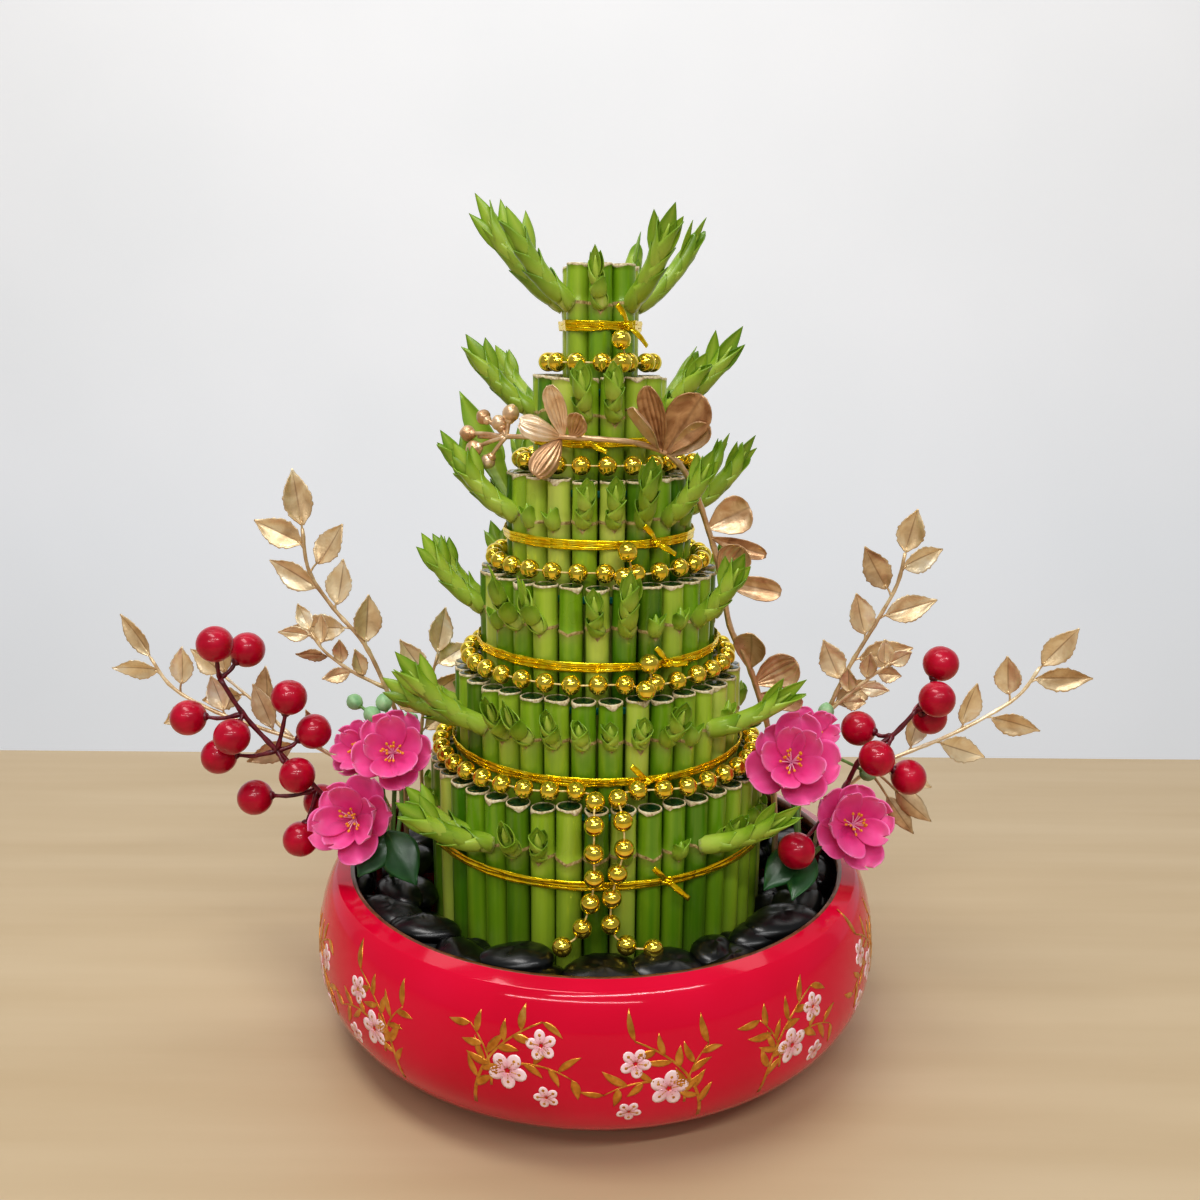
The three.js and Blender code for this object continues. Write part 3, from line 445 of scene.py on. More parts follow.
def shoot_paint():
    paint = Paint("shoot_leaf", Coat_Weight=0.15, Coat_Roughness=0.2, Subsurface_Weight=0.1,
                  Subsurface_Scale=0.002, Subsurface_Radius=(0.8, 1.0, 0.2))
    fibres = paint.noise(420, 3, (1, 1, 0.25))
    spot = paint.weighed(paint.value("along"), 0.78, fibres, 0.2)
    young = paint.ramp(spot, (0.03, 0xDCDCA0), (0.16, 0xBBCE5C), (0.6, 0x9ABB38), (0.97, 0x6F951E))
    older = paint.ramp(spot, (0.03, 0xC2CA70), (0.2, 0x9BB53C), (0.6, 0x749820), (0.97, 0x4A7612))
    colour = paint.mix(paint.value("tone"), young, older)
    paint.finish(colour, paint.spread(fibres, 0.26, 0.42), fibres, (0.0002, 0.2))


def tie_and_bead_paints():
    noise_paint("gold_foil", (330, 3, (1, 1, 1.6), 0.4), [(0.3, 0xE8B800), (0.5, 0xFFDC14), (0.75, 0xFFEE50)],
                (0.1, 0.26), (0.0004, 0.45), Metallic=0.82)
    noise_paint("bead_thread", (900, 2), [(0.3, 0xC9A24A), (0.7, 0xF0DFA8)], 0.5)
    noise_paint("teal_rubber", (700, 3), [(0.3, 0x138A84), (0.7, 0x3CB8AE)], (0.45, 0.65), (0.0002, 0.2))
    paint = Paint("gold_bead", Metallic=0.92)
    dents = paint.noise(420, 2)
    colour = paint.ramp(dents, (0.3, 0xF0CB34), (0.7, 0xFFE866))
    paint.finish(colour, paint.spread(dents, 0.03, 0.08), paint.cells(330), (0.0003, 0.1))


def metal_leaf_paint(name, patch, warp, pore, share, stops, veins, dark, roughness, relief, **fixed):
    """Worn metal: patches and grain, with darker veins and edges."""
    paint = Paint(name, **fixed)
    patches = paint.noise(patch, 4, distortion=warp)
    grain = paint.noise(pore, 4)
    colour = paint.ramp(paint.weighed(patches, share, paint.value("tone"), 1 - share), *stops)
    colour = paint.mix(paint.ramp(paint.value("along"), *veins), colour, shade(dark))
    paint.finish(colour, paint.spread(grain, *roughness), grain, relief)


def spray_paints():
    metal_leaf_paint("champagne_gold", 110, 0.8, 900, 0.75,
                     [(0.22, 0xB08E68), (0.42, 0xDCC096), (0.6, 0xF2DEB8), (0.8, 0xFFF6E2)],
                     [(0.0, 0xD0D0D0), (0.1, 0x000000), (0.86, 0x000000), (1.0, 0x808080)],
                     0x7A4E2C, (0.28, 0.5), (0.00025, 0.5),
                     Metallic=0.5, Coat_Weight=0.15, Coat_Roughness=0.3)
    metal_leaf_paint("rose_copper", 130, 1.0, 800, 0.7,
                     [(0.2, 0xA2744E), (0.4, 0xD0A67C), (0.6, 0xEACAA4), (0.82, 0xFFF0DA)],
                     [(0.0, 0xA0A0A0), (0.12, 0x000000), (0.9, 0x000000), (1.0, 0x606060)],
                     0x6A4028, (0.22, 0.42), (0.0003, 0.45),
                     Metallic=0.52, Coat_Weight=0.25, Coat_Roughness=0.2)
    noise_paint("lacquered_berry", (120, 3), [(0.3, 0xA00426), (0.6, 0xBC0832), (0.85, 0xCC143E)],
                (0.24, 0.36), (0.0003, 0.15), (260, 3),
                Coat_Weight=0.4, Coat_Roughness=0.05, Specular_IOR_Level=0.25)
    noise_paint("maroon_stem", (500, 3), [(0.3, 0x4A0A18), (0.7, 0x7A1428)], 0.4, (0.0003, 0.3),
                Coat_Weight=0.2, Coat_Roughness=0.2)


def blossom_paints():
    paint = Paint("pink_petal", Sheen_Weight=0.25, Sheen_Roughness=0.4, Subsurface_Weight=0.15,
                  Subsurface_Scale=0.003, Subsurface_Radius=(1.0, 0.25, 0.5))
    weave = paint.noise(1500, 2)
    colour = paint.ramp(paint.value("along"), (0.0, 0xB81060), (0.3, 0xE2328A), (0.65, 0xF45CA6),
                        (1.0, 0xFC96C6))
    colour = paint.mix(0.12, colour, paint.ramp(paint.noise(140, 3), (0.3, 0xD01E70), (0.7, 0xFFB0D2)))
    paint.finish(colour, paint.spread(weave, 0.55, 0.72), weave, (0.0002, 0.25))

    noise_paint("filament", (600, 2), [(0.0, 0xF2A8CC), (0.7, 0xF7D3DF), (1.0, 0xF6D9A0)], (0.45, 0.6),
                guide="along")
    noise_paint("anther", (1200, 3), [(0.3, 0xD98A1C), (0.7, 0xF5B63C)], 0.6, (0.0003, 0.4))
    noise_paint("green_stem", (300, 3, (1, 1, 0.3)), [(0.3, 0x4E7C3C), (0.7, 0x8AAF62)], 0.55, (0.0002, 0.3))
    noise_paint("mint_bud", (200, 3), [(0.3, 0x7FAF7E), (0.6, 0xA5CC9A), (0.85, 0xC6DDB4)], (0.42, 0.6),
                (0.0003, 0.25), Coat_Weight=0.1)

    paint = Paint("dark_leaf", Coat_Weight=0.2, Coat_Roughness=0.2)
    clouds = paint.noise(110, 4)
    colour = paint.ramp(paint.value("along"), (0.0, 0x6F9A5C), (0.12, 0x2A5A2C), (0.5, 0x1C4A24),
                        (1.0, 0x2F6A34))
    colour = paint.mix(0.25, colour, paint.ramp(clouds, (0.3, 0x103A1C), (0.7, 0x4C7F46)))
    paint.finish(colour, paint.spread(clouds, 0.26, 0.45), paint.noise(600, 3), (0.0002, 0.25))


def stage_paints():
    noise_paint("pale_table", (5, 4, (0.5, 6, 1)), [(0.3, 0xBCA684), (0.7, 0xC6B292)], 0.5)
    noise_paint("pale_wall", (3, 2), [(0.3, 0xE6EAEF), (0.7, 0xECEFF4)], 0.9,
                Emission_Color=(1.0, 0.96, 0.91, 1.0), Emission_Strength=0.23)


# ---- camera, light and stage ----

CAMERA = {"place": (0.8, -472.6, 296.4), "pitch": 12.56, "roll": 0.45, "lens": 33.0, "sensor": 36.0}
# The stage is in metres: how far behind the middle the table ends and the wall stands.
TABLE_EDGE = 0.317
WALL = 1.25


def make_camera():
    data = bpy.data.cameras.new("camera")
    data.lens = CAMERA["lens"]
    data.sensor_width = CAMERA["sensor"]
    data.clip_start = 0.01
    camera = bpy.data.objects.new("camera", data)
    bpy.context.scene.collection.objects.link(camera)
    tilt = Matrix.Rotation(math.radians(90 - CAMERA["pitch"]), 4, "X")
    roll = Matrix.Rotation(math.radians(CAMERA["roll"]), 4, "Z")
    camera.matrix_world = Matrix.Translation([p * MM for p in CAMERA["place"]]) @ tilt @ roll
    bpy.context.scene.camera = camera


def area_light(name, place, target, size, power, tint):
    data = bpy.data.lights.new(name, "AREA")
    data.shape = "RECTANGLE"
    data.size, data.size_y = size
    data.energy = power
    data.color = tint
    light = bpy.data.objects.new(name, data)
    bpy.context.scene.collection.objects.link(light)
    back = unit(vec(*place) - vec(*target))
    right = unit(np.cross(UP, back)) if abs(back[2]) < 0.99 else vec(1, 0, 0)
    top = np.cross(back, right)
    turn = Matrix([[right[i], top[i], back[i]] for i in range(3)]).to_4x4()
    light.matrix_world = Matrix.Translation(place) @ turn


def stage_plane(name, corners, paint):
    mesh = bpy.data.meshes.new(name)
    mesh.from_pydata(corners, [], [(0, 1, 2, 3)])
    mesh.materials.append(PAINTS[paint])
    plane = bpy.data.objects.new(name, mesh)
    bpy.context.scene.collection.objects.link(plane)


def make_stage():
    stage_plane("table", [(-3, -2.5, 0), (3, -2.5, 0), (3, TABLE_EDGE, 0), (-3, TABLE_EDGE, 0)], "pale_table")
    stage_plane("wall", [(-4, WALL, -2), (4, WALL, -2), (4, WALL, 3), (-4, WALL, 3)], "pale_wall")
    world = bpy.data.worlds.new("room")
    world.use_nodes = True
    background = world.node_tree.nodes["Background"]
    background.inputs["Color"].default_value = (0.95, 0.97, 1.0, 1.0)
    background.inputs["Strength"].default_value = 0.26
    bpy.context.scene.world = world
    area_light("ceiling", (-0.35, -0.35, 1.5), (0, 0, 0.15), (0.9, 0.35), 7.9, (1.0, 0.98, 0.96))
    area_light("tube", (0.25, -0.95, 1.15), (0, 0, 0.1), (1.3, 0.05), 5.9, (1.0, 1.0, 1.0))
    area_light("second_tube", (-0.2, -1.3, 0.95), (0, 0, 0.1), (1.3, 0.04), 3.5, (1.0, 1.0, 1.0))
    area_light("wall_wash", (0, 0.5, 1.9), (0, WALL, 0.1), (2.6, 0.4), 7.0, (1.0, 0.97, 0.94))


# ---- bowl ----

LIP = [(112.0, 73.6), (111.2, 74.3), (110.3, 74.5), (109.5, 74.2), (109.1, 73.4), (109.2, 71.5), (109.8, 69)]
INSIDE = [(112.5, 67.5), (117, 60), (120.4, 49), (121, 39.3), (118, 26), (109.2, 14.2), (96, 8.5), (77, 5)]
PRINT = {"radius": 122, "lift": 0.14, "thick": 0.3, "height": 40, "shift": 3}
# The azimuths of the printed sprigs, of which every second one is mirrored.
SPRIGS = (-68, -44, -13, 11, 38, 66, 95, 124, 152, 180, -152, -124, -96)
# The twigs of a sprig: start, end, bend, half width, leaves and seed. Its blossoms: centre, radius, turn, and
# the turn from one sprig to the next.
TWIGS = [((-16, -19), (9, 17), 0.16, 0.7, 9, 31), ((-9, -9), (-18, 13), -0.12, 0.5, 6, 61),
         ((-1, 1), (20, -3), 0.1, 0.45, 5, 91)]
PRINTED_BLOSSOMS = [((-3, -2), 7.2, 18, 20), ((9, 9), 5.6, 40, 31), ((11, -11), 4.6, 5, 17)]


def wall_radius(height):
    """The bowl's outside radius at a height."""
    low, high = BOWL["belly_height"], BOWL["rim_height"]
    if height >= low:
        share = min((height - low) / (high - low), 1)
        return BOWL["rim"] + (BOWL["belly"] - BOWL["rim"]) * math.sqrt(1 - share ** 2)
    cosine = (1 - height / low) ** (BOWL["power"] / 2)
    sine = math.sqrt(1 - cosine ** 2)
    return BOWL["foot"] + (BOWL["belly"] - BOWL["foot"]) * sine ** (2 / BOWL["power"])


def bowl_outline():
    """The bowl's half outline from the underside's middle, over the rim, to the floor's middle."""
    lower = [BOWL["belly_height"] * (1 - math.cos(math.pi / 2 * i / 14)) for i in range(1, 15)]
    upper = [BOWL["belly_height"] + BOWL["shoulder"] * math.sin(math.pi / 2 * i / 10) for i in range(1, 11)]
    outside = [(wall_radius(z), z) for z in [*lower, *upper]]
    return [(0.5, 0), (56, 0), (60, 0), (68, 0), *outside, *LIP, *INSIDE, (40, 5), (0.5, 5)]


def on_bowl(azimuth, height):
    """A point on the print, just off the bowl's glaze."""
    slope = wall_radius(height + 0.5) - wall_radius(height - 0.5)
    return polar(azimuth, wall_radius(height), height) + unit(outward(azimuth) - UP * slope) * PRINT["lift"]


def printed(shell, middle, spine, widths, slot):
    """A flat motif on the bowl's glaze. The spine's points are millimetres across and up from the middle,
    which is an azimuth and a height, and the widths are the motif's half widths along it."""
    azimuth, height = middle
    along = np.gradient(spine, axis=0)
    side = unit_rows(np.stack([-along[:, 1], along[:, 0]], axis=1))
    rows = []
    for point, across, half in zip(spine, side, widths):
        spots = [point + across * half * u for u in (-1, -0.5, 0, 0.5, 1)]
        rows.append([on_bowl(azimuth + math.degrees(x / PRINT["radius"]), height + y) for x, y in spots])
    fade = np.repeat(np.linspace(0, 1, len(rows)), 5)
    shell.add(thick_sheet(np.array(rows), PRINT["thick"]), slot, 0.5, np.tile(fade, 2))


def flat_arc(start, end, count, bend):
    """A bent line in the plane."""
    along = end - start
    share = np.linspace(0, 1, count)[:, None]
    return start + share * along + 4 * bend * share * (1 - share) * vec(-along[1], along[0])


def printed_twig(shell, middle, start, end, bend, width, leaves, seed):
    """A gold twig with pointed leaves on both sides."""
    random = draws(seed)
    steps = 13
    spine = flat_arc(start, end, steps, bend)
    printed(shell, middle, spine, np.linspace(width, width * 0.4, steps), 0)
    directions = unit_rows(np.gradient(spine, axis=0))
    share = np.linspace(0, 1, 7)
    for i in range(leaves):
        spot = 2 + 10 * i // (leaves - 1)
        turn = math.radians((38 + 22 * random()) * (1 if i % 2 else -1))
        along = directions[spot]
        way = along * math.cos(turn) + vec(-along[1], along[0]) * math.sin(turn)
        tip = spine[spot] + way * (7.5 + 4 * random())
        half = np.maximum(np.sin(np.pi * share ** 0.8) * (2.3 + random()) / 2, 0.04)
        printed(shell, middle, flat_arc(spine[spot], tip, 7, 0.06), half, 0)


def printed_blossom(shell, middle, centre, radius, turn):
    """Five rounded petals with a gold heart and stamens."""
    share = np.linspace(0, 1, 8)
    half = radius * 0.36 * np.sqrt(np.maximum(np.sin(np.pi * (0.12 + 0.86 * share) ** 1.25), 0.01))
    for i in range(5):
        angle = math.radians(turn + 72 * i)
        way = vec(math.cos(angle), math.sin(angle))
        printed(shell, middle, centre + way * (radius * (0.14 + 0.86 * share))[:, None], half, 1)
        stamen = centre + way * (radius * np.linspace(0.1, 0.55, 4))[:, None]
        printed(shell, middle, stamen, np.full(4, 0.22), 0)
        printed(shell, middle, stamen[-1] + way * np.linspace(0, 1.1, 4)[:, None], [0.2, 0.55, 0.55, 0.2], 0)


def make_bowl():
    """The turned body, with a brown lip and a bare ring under its foot, and the print round it."""
    shell = Shell()
    points, faces = turned(bowl_outline(), 144)
    radius = np.linalg.norm(points[:, :2], axis=1)[faces[:, :3]].mean(1)
    height = points[:, 2][faces[:, :3]].mean(1)
    lip = (radius < 111) & (height > 68.2)
    foot = (height < 0.4) & (radius > 57)
    shell.add((points, faces), np.select([lip, foot], [1, 2]))
    shell.make("bowl_body", ["red_glaze", "brown_lip", "bare_clay"], "bowl_glaze", "bowl")

    prints = Shell()
    for i, azimuth in enumerate(SPRIGS):
        hand = -1 if i % 2 else 1
        mirror = vec(hand, 1)
        middle = (azimuth, PRINT["height"] + PRINT["shift"] * (i % 3))
        for start, end, bend, width, leaves, seed in TWIGS:
            printed_twig(prints, middle, start * mirror, end * mirror, bend * hand, width, leaves, seed + i)
        for centre, radius, turn, more in PRINTED_BLOSSOMS:
            printed_blossom(prints, middle, centre * mirror, radius, turn + more * i)
    prints.make("bowl_print", ["printed_gold", "printed_pink"], "bowl_glaze")


# ---- pebbles ----

# Each layer's height, stones, distance apart, radii between which they lie, their size, and whether they keep
# clear of the ends of the bead strands.
PEBBLE_LAYERS = [
    (55, 130, 11, 80, 112, (9.5, 7, 5), False),
    (62.5, 60, 20, 86, 102, (15.5, 10.5, 6.4), False),
    (66, 24, 32, 87, 100, (14.5, 10, 5.9), True),
]
STRAND_ENDS = [vec(*FRONT_RIGHT[0][:2]), vec(*FRONT_RIGHT[2][:2]), vec(*FRONT_LEFT[-1][:2])]
STRAND_ENDS_CLEAR = 13


def pebble(centre, size, turn, tilt, random):
    """A worn stone: a ball pressed flat, with a few low swellings."""
    rows, columns = 11, 18
    lean = np.pi * (np.arange(rows) + 0.5) / rows
    around = all_round(columns)
    lean, around = np.meshgrid(lean, around, indexing="ij")
    ball = np.stack([np.sin(lean) * np.cos(around), np.sin(lean) * np.sin(around), np.cos(lean)], axis=-1)
    phases = [2 * np.pi * random() for _ in range(4)]
    swell = 1 + 0.07 * np.cos(2 * around + phases[0]) * np.sin(lean) + 0.05 * np.cos(3 * around + phases[1])
    swell += 0.05 * np.cos(2 * lean + phases[2])
    spin = Matrix.Rotation(turn, 3, "Z") @ Matrix.Rotation(tilt, 3, "X") @ Matrix.Rotation(tilt * 0.6, 3, "Y")
    return closed_tube(ball * swell[..., None] * size @ np.array(spin).T + centre)


def make_pebbles():
    shell = Shell()
    random = draws(77)
    for height, count, apart, low, high, size, clears in PEBBLE_LAYERS:
        placed = []
        for _ in range(count * 12):
            azimuth = 360 * random()
            radius = low + (high - low) * random()
            spot = polar(azimuth, radius, height + 1.6 * random())
            grow = 0.82 + 0.42 * random()
            near = any(np.linalg.norm(spot[:2] - other[:2]) < apart for other in placed)
            near |= clears and any(np.linalg.norm(spot[:2] - end) < STRAND_ENDS_CLEAR for end in STRAND_ENDS)
            if len(placed) >= count or near:
                continue
            placed.append(spot)
            turn = math.radians(azimuth + 60 * (random() - 0.5))
            stone = pebble(spot, size * vec(grow, grow, grow ** 0.5), turn, 0.5 * (random() - 0.5), random)
            shell.add(stone, 0, random())
    shell.make("pebble_bed", ["black_pebble"], "pebble_stone", "pebbles")


# ---- stalks and shoots ----

# The rows of a stalk's skin round its node: height over the node, growth, share of the sag, and paleness.
# Near the node the paleness is the stalk's own paler colour.
NODE_ROWS = [
    (-12, 1.0, 0, 0.4), (-4, 1.01, 0.6, 0.7), (-0.9, 1.03, 1, 1.0), (-0.4, 1.085, 1, 1.0),
    (0.4, 1.085, 1, 0.8), (0.9, 1.035, 1, 0.6), (4, 1.015, 0.5, 0.25), (10, 0.985, 0, 0.0),
]
# The rows of the cut edge: growth, height under the top, and share of its raggedness. Those of the wax:
# growth and height under the top.
EDGE_ROWS = [(0.985, 0.9, 0.85), (1.01, 0.8, 0.85), (0.99, 0.25, 0.25), (0.94, 0.13, 0.25)]
WAX_ROWS = [(0.88, 0.4), (0.86, 0.28), (0.45, 0.1), (0.06, 0.2)]
# How stalks differ: how much thinner, further in and off in azimuth they may be, how far their nodes shift
# with and without a shoot, the share of those without one that have a bud, and how deep the scars dip under a
# shoot or bud and elsewhere.
VARY = {"thin": 0.5, "inward": 0.5, "azimuth": 0.3, "node": 1, "bare_node": 4, "buds": 0.6, "dip": 3.6,
        "bare_dip": 1.2}

STALK_PAINTS = ["stalk_skin", "node_scar", "sealing_wax"]

def corner_of(tier):
    half = math.pi / tier["stalks"]
    return max(STALK["corner"], (tier["ring"] * math.sin(half) + STALK["overlap"]) / math.cos(half))


def reach_of(tier):
    return tier["ring"] + corner_of(tier) * math.sin(math.pi / 3) + 0.2


def add_stalk(shell, centre, azimuth, node, top, radius, dip, random):
    """One cut stalk: skin, a tan scar that dips under the shoot, and a wax-sealed top in a ragged rim."""
    sides, bottom = STALK["sides"], STALK["bottom"]
    turn = all_round(sides)
    angle = np.where(turn > np.pi, turn - 2 * np.pi, turn)
    spokes = np.cos(turn)[:, None] * outward(azimuth) + np.sin(turn)[:, None] * sideways(azimuth)
    sag = -dip * np.maximum(1 - np.abs(angle) / 0.62, 0) ** 1.3 + 0.4 * np.cos(turn + 6 * random())
    tongue = (1.0 + 1.6 * random()) * np.exp(-((angle - 4 * random() + 2) / 0.4) ** 2)
    ragged = np.array([0.7 * random() for _ in turn]) + tongue
    oval = spokes * (radius * (1 + 0.025 * np.cos(2 * turn + 6 * random())))[:, None]
    sag, ragged = sag[:, None] * UP, ragged[:, None] * UP

    # The two lowest rows are paler: partly the lower stalk's own yellower green, partly painted fill light
    # that lifts the shade cast by the shoots and pebbles.
    rows = [(bottom, 0.97, 0, 0.9), ((bottom + node) / 2, 1.0, 0, 0.72)]
    rows += [(node + over, *rest) for over, *rest in NODE_ROWS]
    rows += [(top - 3.4, 0.985, 0, 0.0)]
    rings = [oval * grow + UP * z + sag * share for z, grow, share, _ in rows]
    rings += [oval * grow + UP * (top - low) - ragged * share for grow, low, share in EDGE_ROWS]
    rings += [spokes * radius * grow + UP * (top - low) for grow, low in WAX_ROWS]
    pale_and_fill_light = [row[-1] for row in rows] + [0.1] * len(EDGE_ROWS + WAX_ROWS)

    points, faces = closed_tube(np.array(rings) + centre)
    row = faces[:, 0] // sides
    cut = len(rows)
    scar, rim, wax = (row == 5) | (row == 6), (row >= cut) & (row < cut + 4), row >= cut + 4
    along = np.append(np.repeat(pale_and_fill_light, sides), [0, 0])
    shell.add((points, faces), np.select([scar, rim, wax], [1, 1, 2]), random(), along)


# Half of a sheath's wrap in degrees along it. The tip's leaves: how far they fan out and stay back, and their
# width in girths of the shoot. The outlines of leaves: share of the length, and share of the width.
SHEATH_WRAP = [(0, 168), (0.25, 138), (0.45, 112), (0.65, 82), (0.8, 53), (0.92, 23), (1, 1)]
TIP_LEAVES = [(0.0, 0.0, 2.6), (0.12, 0.08, 2.3), (-0.13, 0.15, 2.2)]
TIP_LEAF = [(0, 0.5), (0.2, 0.84), (0.42, 1), (0.62, 0.86), (0.8, 0.52), (0.93, 0.2), (1, 0.02)]
LEAF_OVATE = [(0, 0.1), (0.08, 0.42), (0.2, 0.78), (0.38, 1), (0.55, 0.95), (0.75, 0.62), (0.9, 0.24),
              (1, 0.03)]
LEAF_LONG = [(0, 0.3), (0.2, 0.55), (0.45, 0.95), (0.6, 1), (0.8, 0.66), (0.93, 0.24), (1, 0.02)]
LEAF_ROUND = [(0, 0.1), (0.12, 0.36), (0.35, 0.78), (0.6, 1), (0.8, 0.95), (0.93, 0.68), (1, 0.25)]


def add_sheath(shell, route, start, length, way, radius, flare, tone):
    """A leaf sheath that wraps its stem at the base and draws out into a long point that leans away."""
    rows, columns = 12, 9
    total = length_of(route)
    share = np.linspace(0, 1, rows)
    reach = start * total + share * length
    marks = np.linspace(0, total, len(route))
    over = np.maximum(reach - total, 0)
    end = unit(route[-1] - route[-2])
    centre = np.stack([np.interp(reach, marks, route[:, i]) for i in range(3)], axis=1) + over[:, None] * end
    along = unit_rows(np.gradient(centre, axis=0))
    way = unit_rows(way - along * (along @ way)[:, None])
    across = np.cross(along, way)
    wrap = np.radians(read_off(share, SHEATH_WRAP))
    out = radius * (1.0 + 0.16 * np.sin(np.pi * np.minimum(share * 1.6, 1)))
    lean = radius * flare * share ** 2.2
    turn = np.linspace(-1, 1, columns)[None, :] * wrap[:, None]
    grid = centre[:, None] + way[:, None] * (np.cos(turn) * out[:, None] + lean[:, None])[..., None]
    grid = grid + across[:, None] * (np.sin(turn) * out[:, None])[..., None]
    colour = np.repeat(0.05 + 0.9 * share ** 1.2, columns)
    shell.add(thick_sheet(grid, SHEATH["thick"]), 0, tone, np.tile(colour, 2))


def add_leaf(shell, root, tip, across, width, shape, slot=0, tone=0.5, arch=1.0, cup=0.3, rib=0.3, pleats=0.0,
             thick=0.35, crinkle=0.0, ragged=0.0, lengthwise=0.5, rows=15, columns=13):
    """A leaf with a raised midrib from root to tip. Pleats are ridges that run out from the root."""
    root, tip = np.asarray(root, float), np.asarray(tip, float)
    along = tip - root
    face = unit(np.cross(along, across))
    side = unit(np.cross(face, along))
    share = np.linspace(0, 1, rows)[:, None]
    u = np.linspace(-1, 1, columns)[None, :]
    half = read_off(share, shape) * width / 2
    teeth = np.sin(61 * share + 9 * tone + 2 * np.sign(u)) + np.sin(37 * share + 5 * tone)
    teeth = 1 + ragged * teeth * u ** 6
    rise = 4 * arch * share * (1 - share) - cup * half * u ** 2
    rise = rise + rib * np.exp(-(u / 0.13) ** 2) * (1 - share)
    rise = rise + pleats * np.cos(u * 5.5 * np.pi) * share * (1.1 - share) * 3
    rise = rise + crinkle * np.sin(9 * share + 4 * u + 6 * tone) * np.abs(u)
    grid = root + along * share[..., None] + side * (u * half * teeth)[..., None] + face * rise[..., None]
    colour = (np.abs(u) * (1 - lengthwise) + share * lengthwise).ravel()
    shell.add(thick_sheet(grid, thick), slot, tone, np.tile(colour, 2))


def shoot_route(tier, length, lean, azimuth, twist):
    """A line from the stalk at the azimuth, bent up towards its tip."""
    out = outward(twist)
    root = polar(azimuth, tier["ring"] + STALK["corner"] - SHOOT["sink"], tier["node"])

    def bend(turn, reach):
        angle = math.radians(turn)
        return root + out * math.sin(angle) * reach + UP * math.cos(angle) * reach

    knee, tip = bend(lean + SHOOT["knee"], length * 0.45), bend(lean, length)
    t = np.linspace(0, 1, 25)[:, None]
    return even_steps((1 - t) ** 2 * root + 2 * t * (1 - t) * knee + t ** 2 * tip, 16)


def add_shoot(shell, route, length, twist, random):
    """A leafy shoot that leans out of its stalk and turns up. Broad pointed sheaths clasp it on either side
    by turns, and two or three young leaves stand at its tip."""
    aside = abs(math.sin(math.radians(twist)))
    side = sideways(twist)
    chord = unit(route[-1] - route[0])
    face = np.cross(side, chord)
    marks = np.linspace(0, 1, 17)
    route = route + side * np.sin(2 * np.pi * marks)[:, None] * 0.02 * length * (random() - 0.5)
    girth = 2.4 + 0.55 * min(length / 40, 1) + 0.3 * (random() - 0.5)
    marks = marks[:14]
    radii = read_off(marks, [(0, 1.3), (0.1, 1.15), (0.3, 0.85), (0.6, 0.6), (0.8, 0.1)]) * girth
    shell.add(tube(route[:14], radii, 12), 0, 0.2, np.append(np.repeat(0.4 * marks, 12), [0, 0]))
    plane = math.radians(70 * aside + 50 * (random() - 0.5))
    count = max(SHEATH["fewest"], round(length / SHEATH["pitch"]))
    for k in range(count):
        share = SHEATH["last"] * k / count
        swing = plane + (0 if k % 2 else math.pi) + 0.6 * (random() - 0.5)
        way = side * math.cos(swing) + face * math.sin(swing)
        reach = max((0.32 + 0.08 * share + 0.1 * random()) * length, SHEATH["shortest"])
        reach = min(reach, (SHEATH["end"] - share) * length)
        flare = 0.15 + 0.3 * share + 0.5 * random() ** 2
        add_sheath(shell, route, share, reach, way, girth * (1.12 - 0.4 * share), flare, random())
    out = side * math.cos(plane) + face * math.sin(plane)
    across = np.cross(chord, face * math.cos(plane) - side * math.sin(plane))
    for fan_out, share, wide in TIP_LEAVES[: 2 if length < 24 else 3]:
        end = route[-1] + out * fan_out * length * (0.8 + 0.4 * random())
        end = end - chord * (share + 0.03 * random()) * length
        add_leaf(shell, route[8], end, across, girth * wide, TIP_LEAF, tone=random(),
                 arch=0.6 + 0.8 * random(), cup=0.34, rib=0.12)


def add_node_bud(shell, azimuth, tier, node, random):
    """A small closed bud that clasps a stalk just over its node."""
    out, side = outward(azimuth), sideways(azimuth)
    root = polar(azimuth, tier["ring"] + STALK["radius"] - 1.9, node - 1.0)
    lean = out * (1.6 + 1.2 * random()) + side * 1.6 * (random() - 0.5)
    tip = root + lean + UP * (6.5 + 4 * random())
    route = smooth_route([root, (root + tip) / 2 + out * 0.9, tip], 8)
    marks = np.linspace(0, 1, 9)
    radii = read_off(marks, [(0, 2.0), (0.3, 2.6), (0.6, 1.9), (1, 0.25)])
    shell.add(tube(route, radii, 12), 0, 0.3, np.append(np.repeat(0.7 * marks, 12), [0, 0.7]))
    for hand in (-1, 1):
        way = out * 0.4 + side * hand
        add_sheath(shell, route, 0.0, 7 + 2.5 * random(), way, 2.5, 0.3 + 0.4 * random(), random())


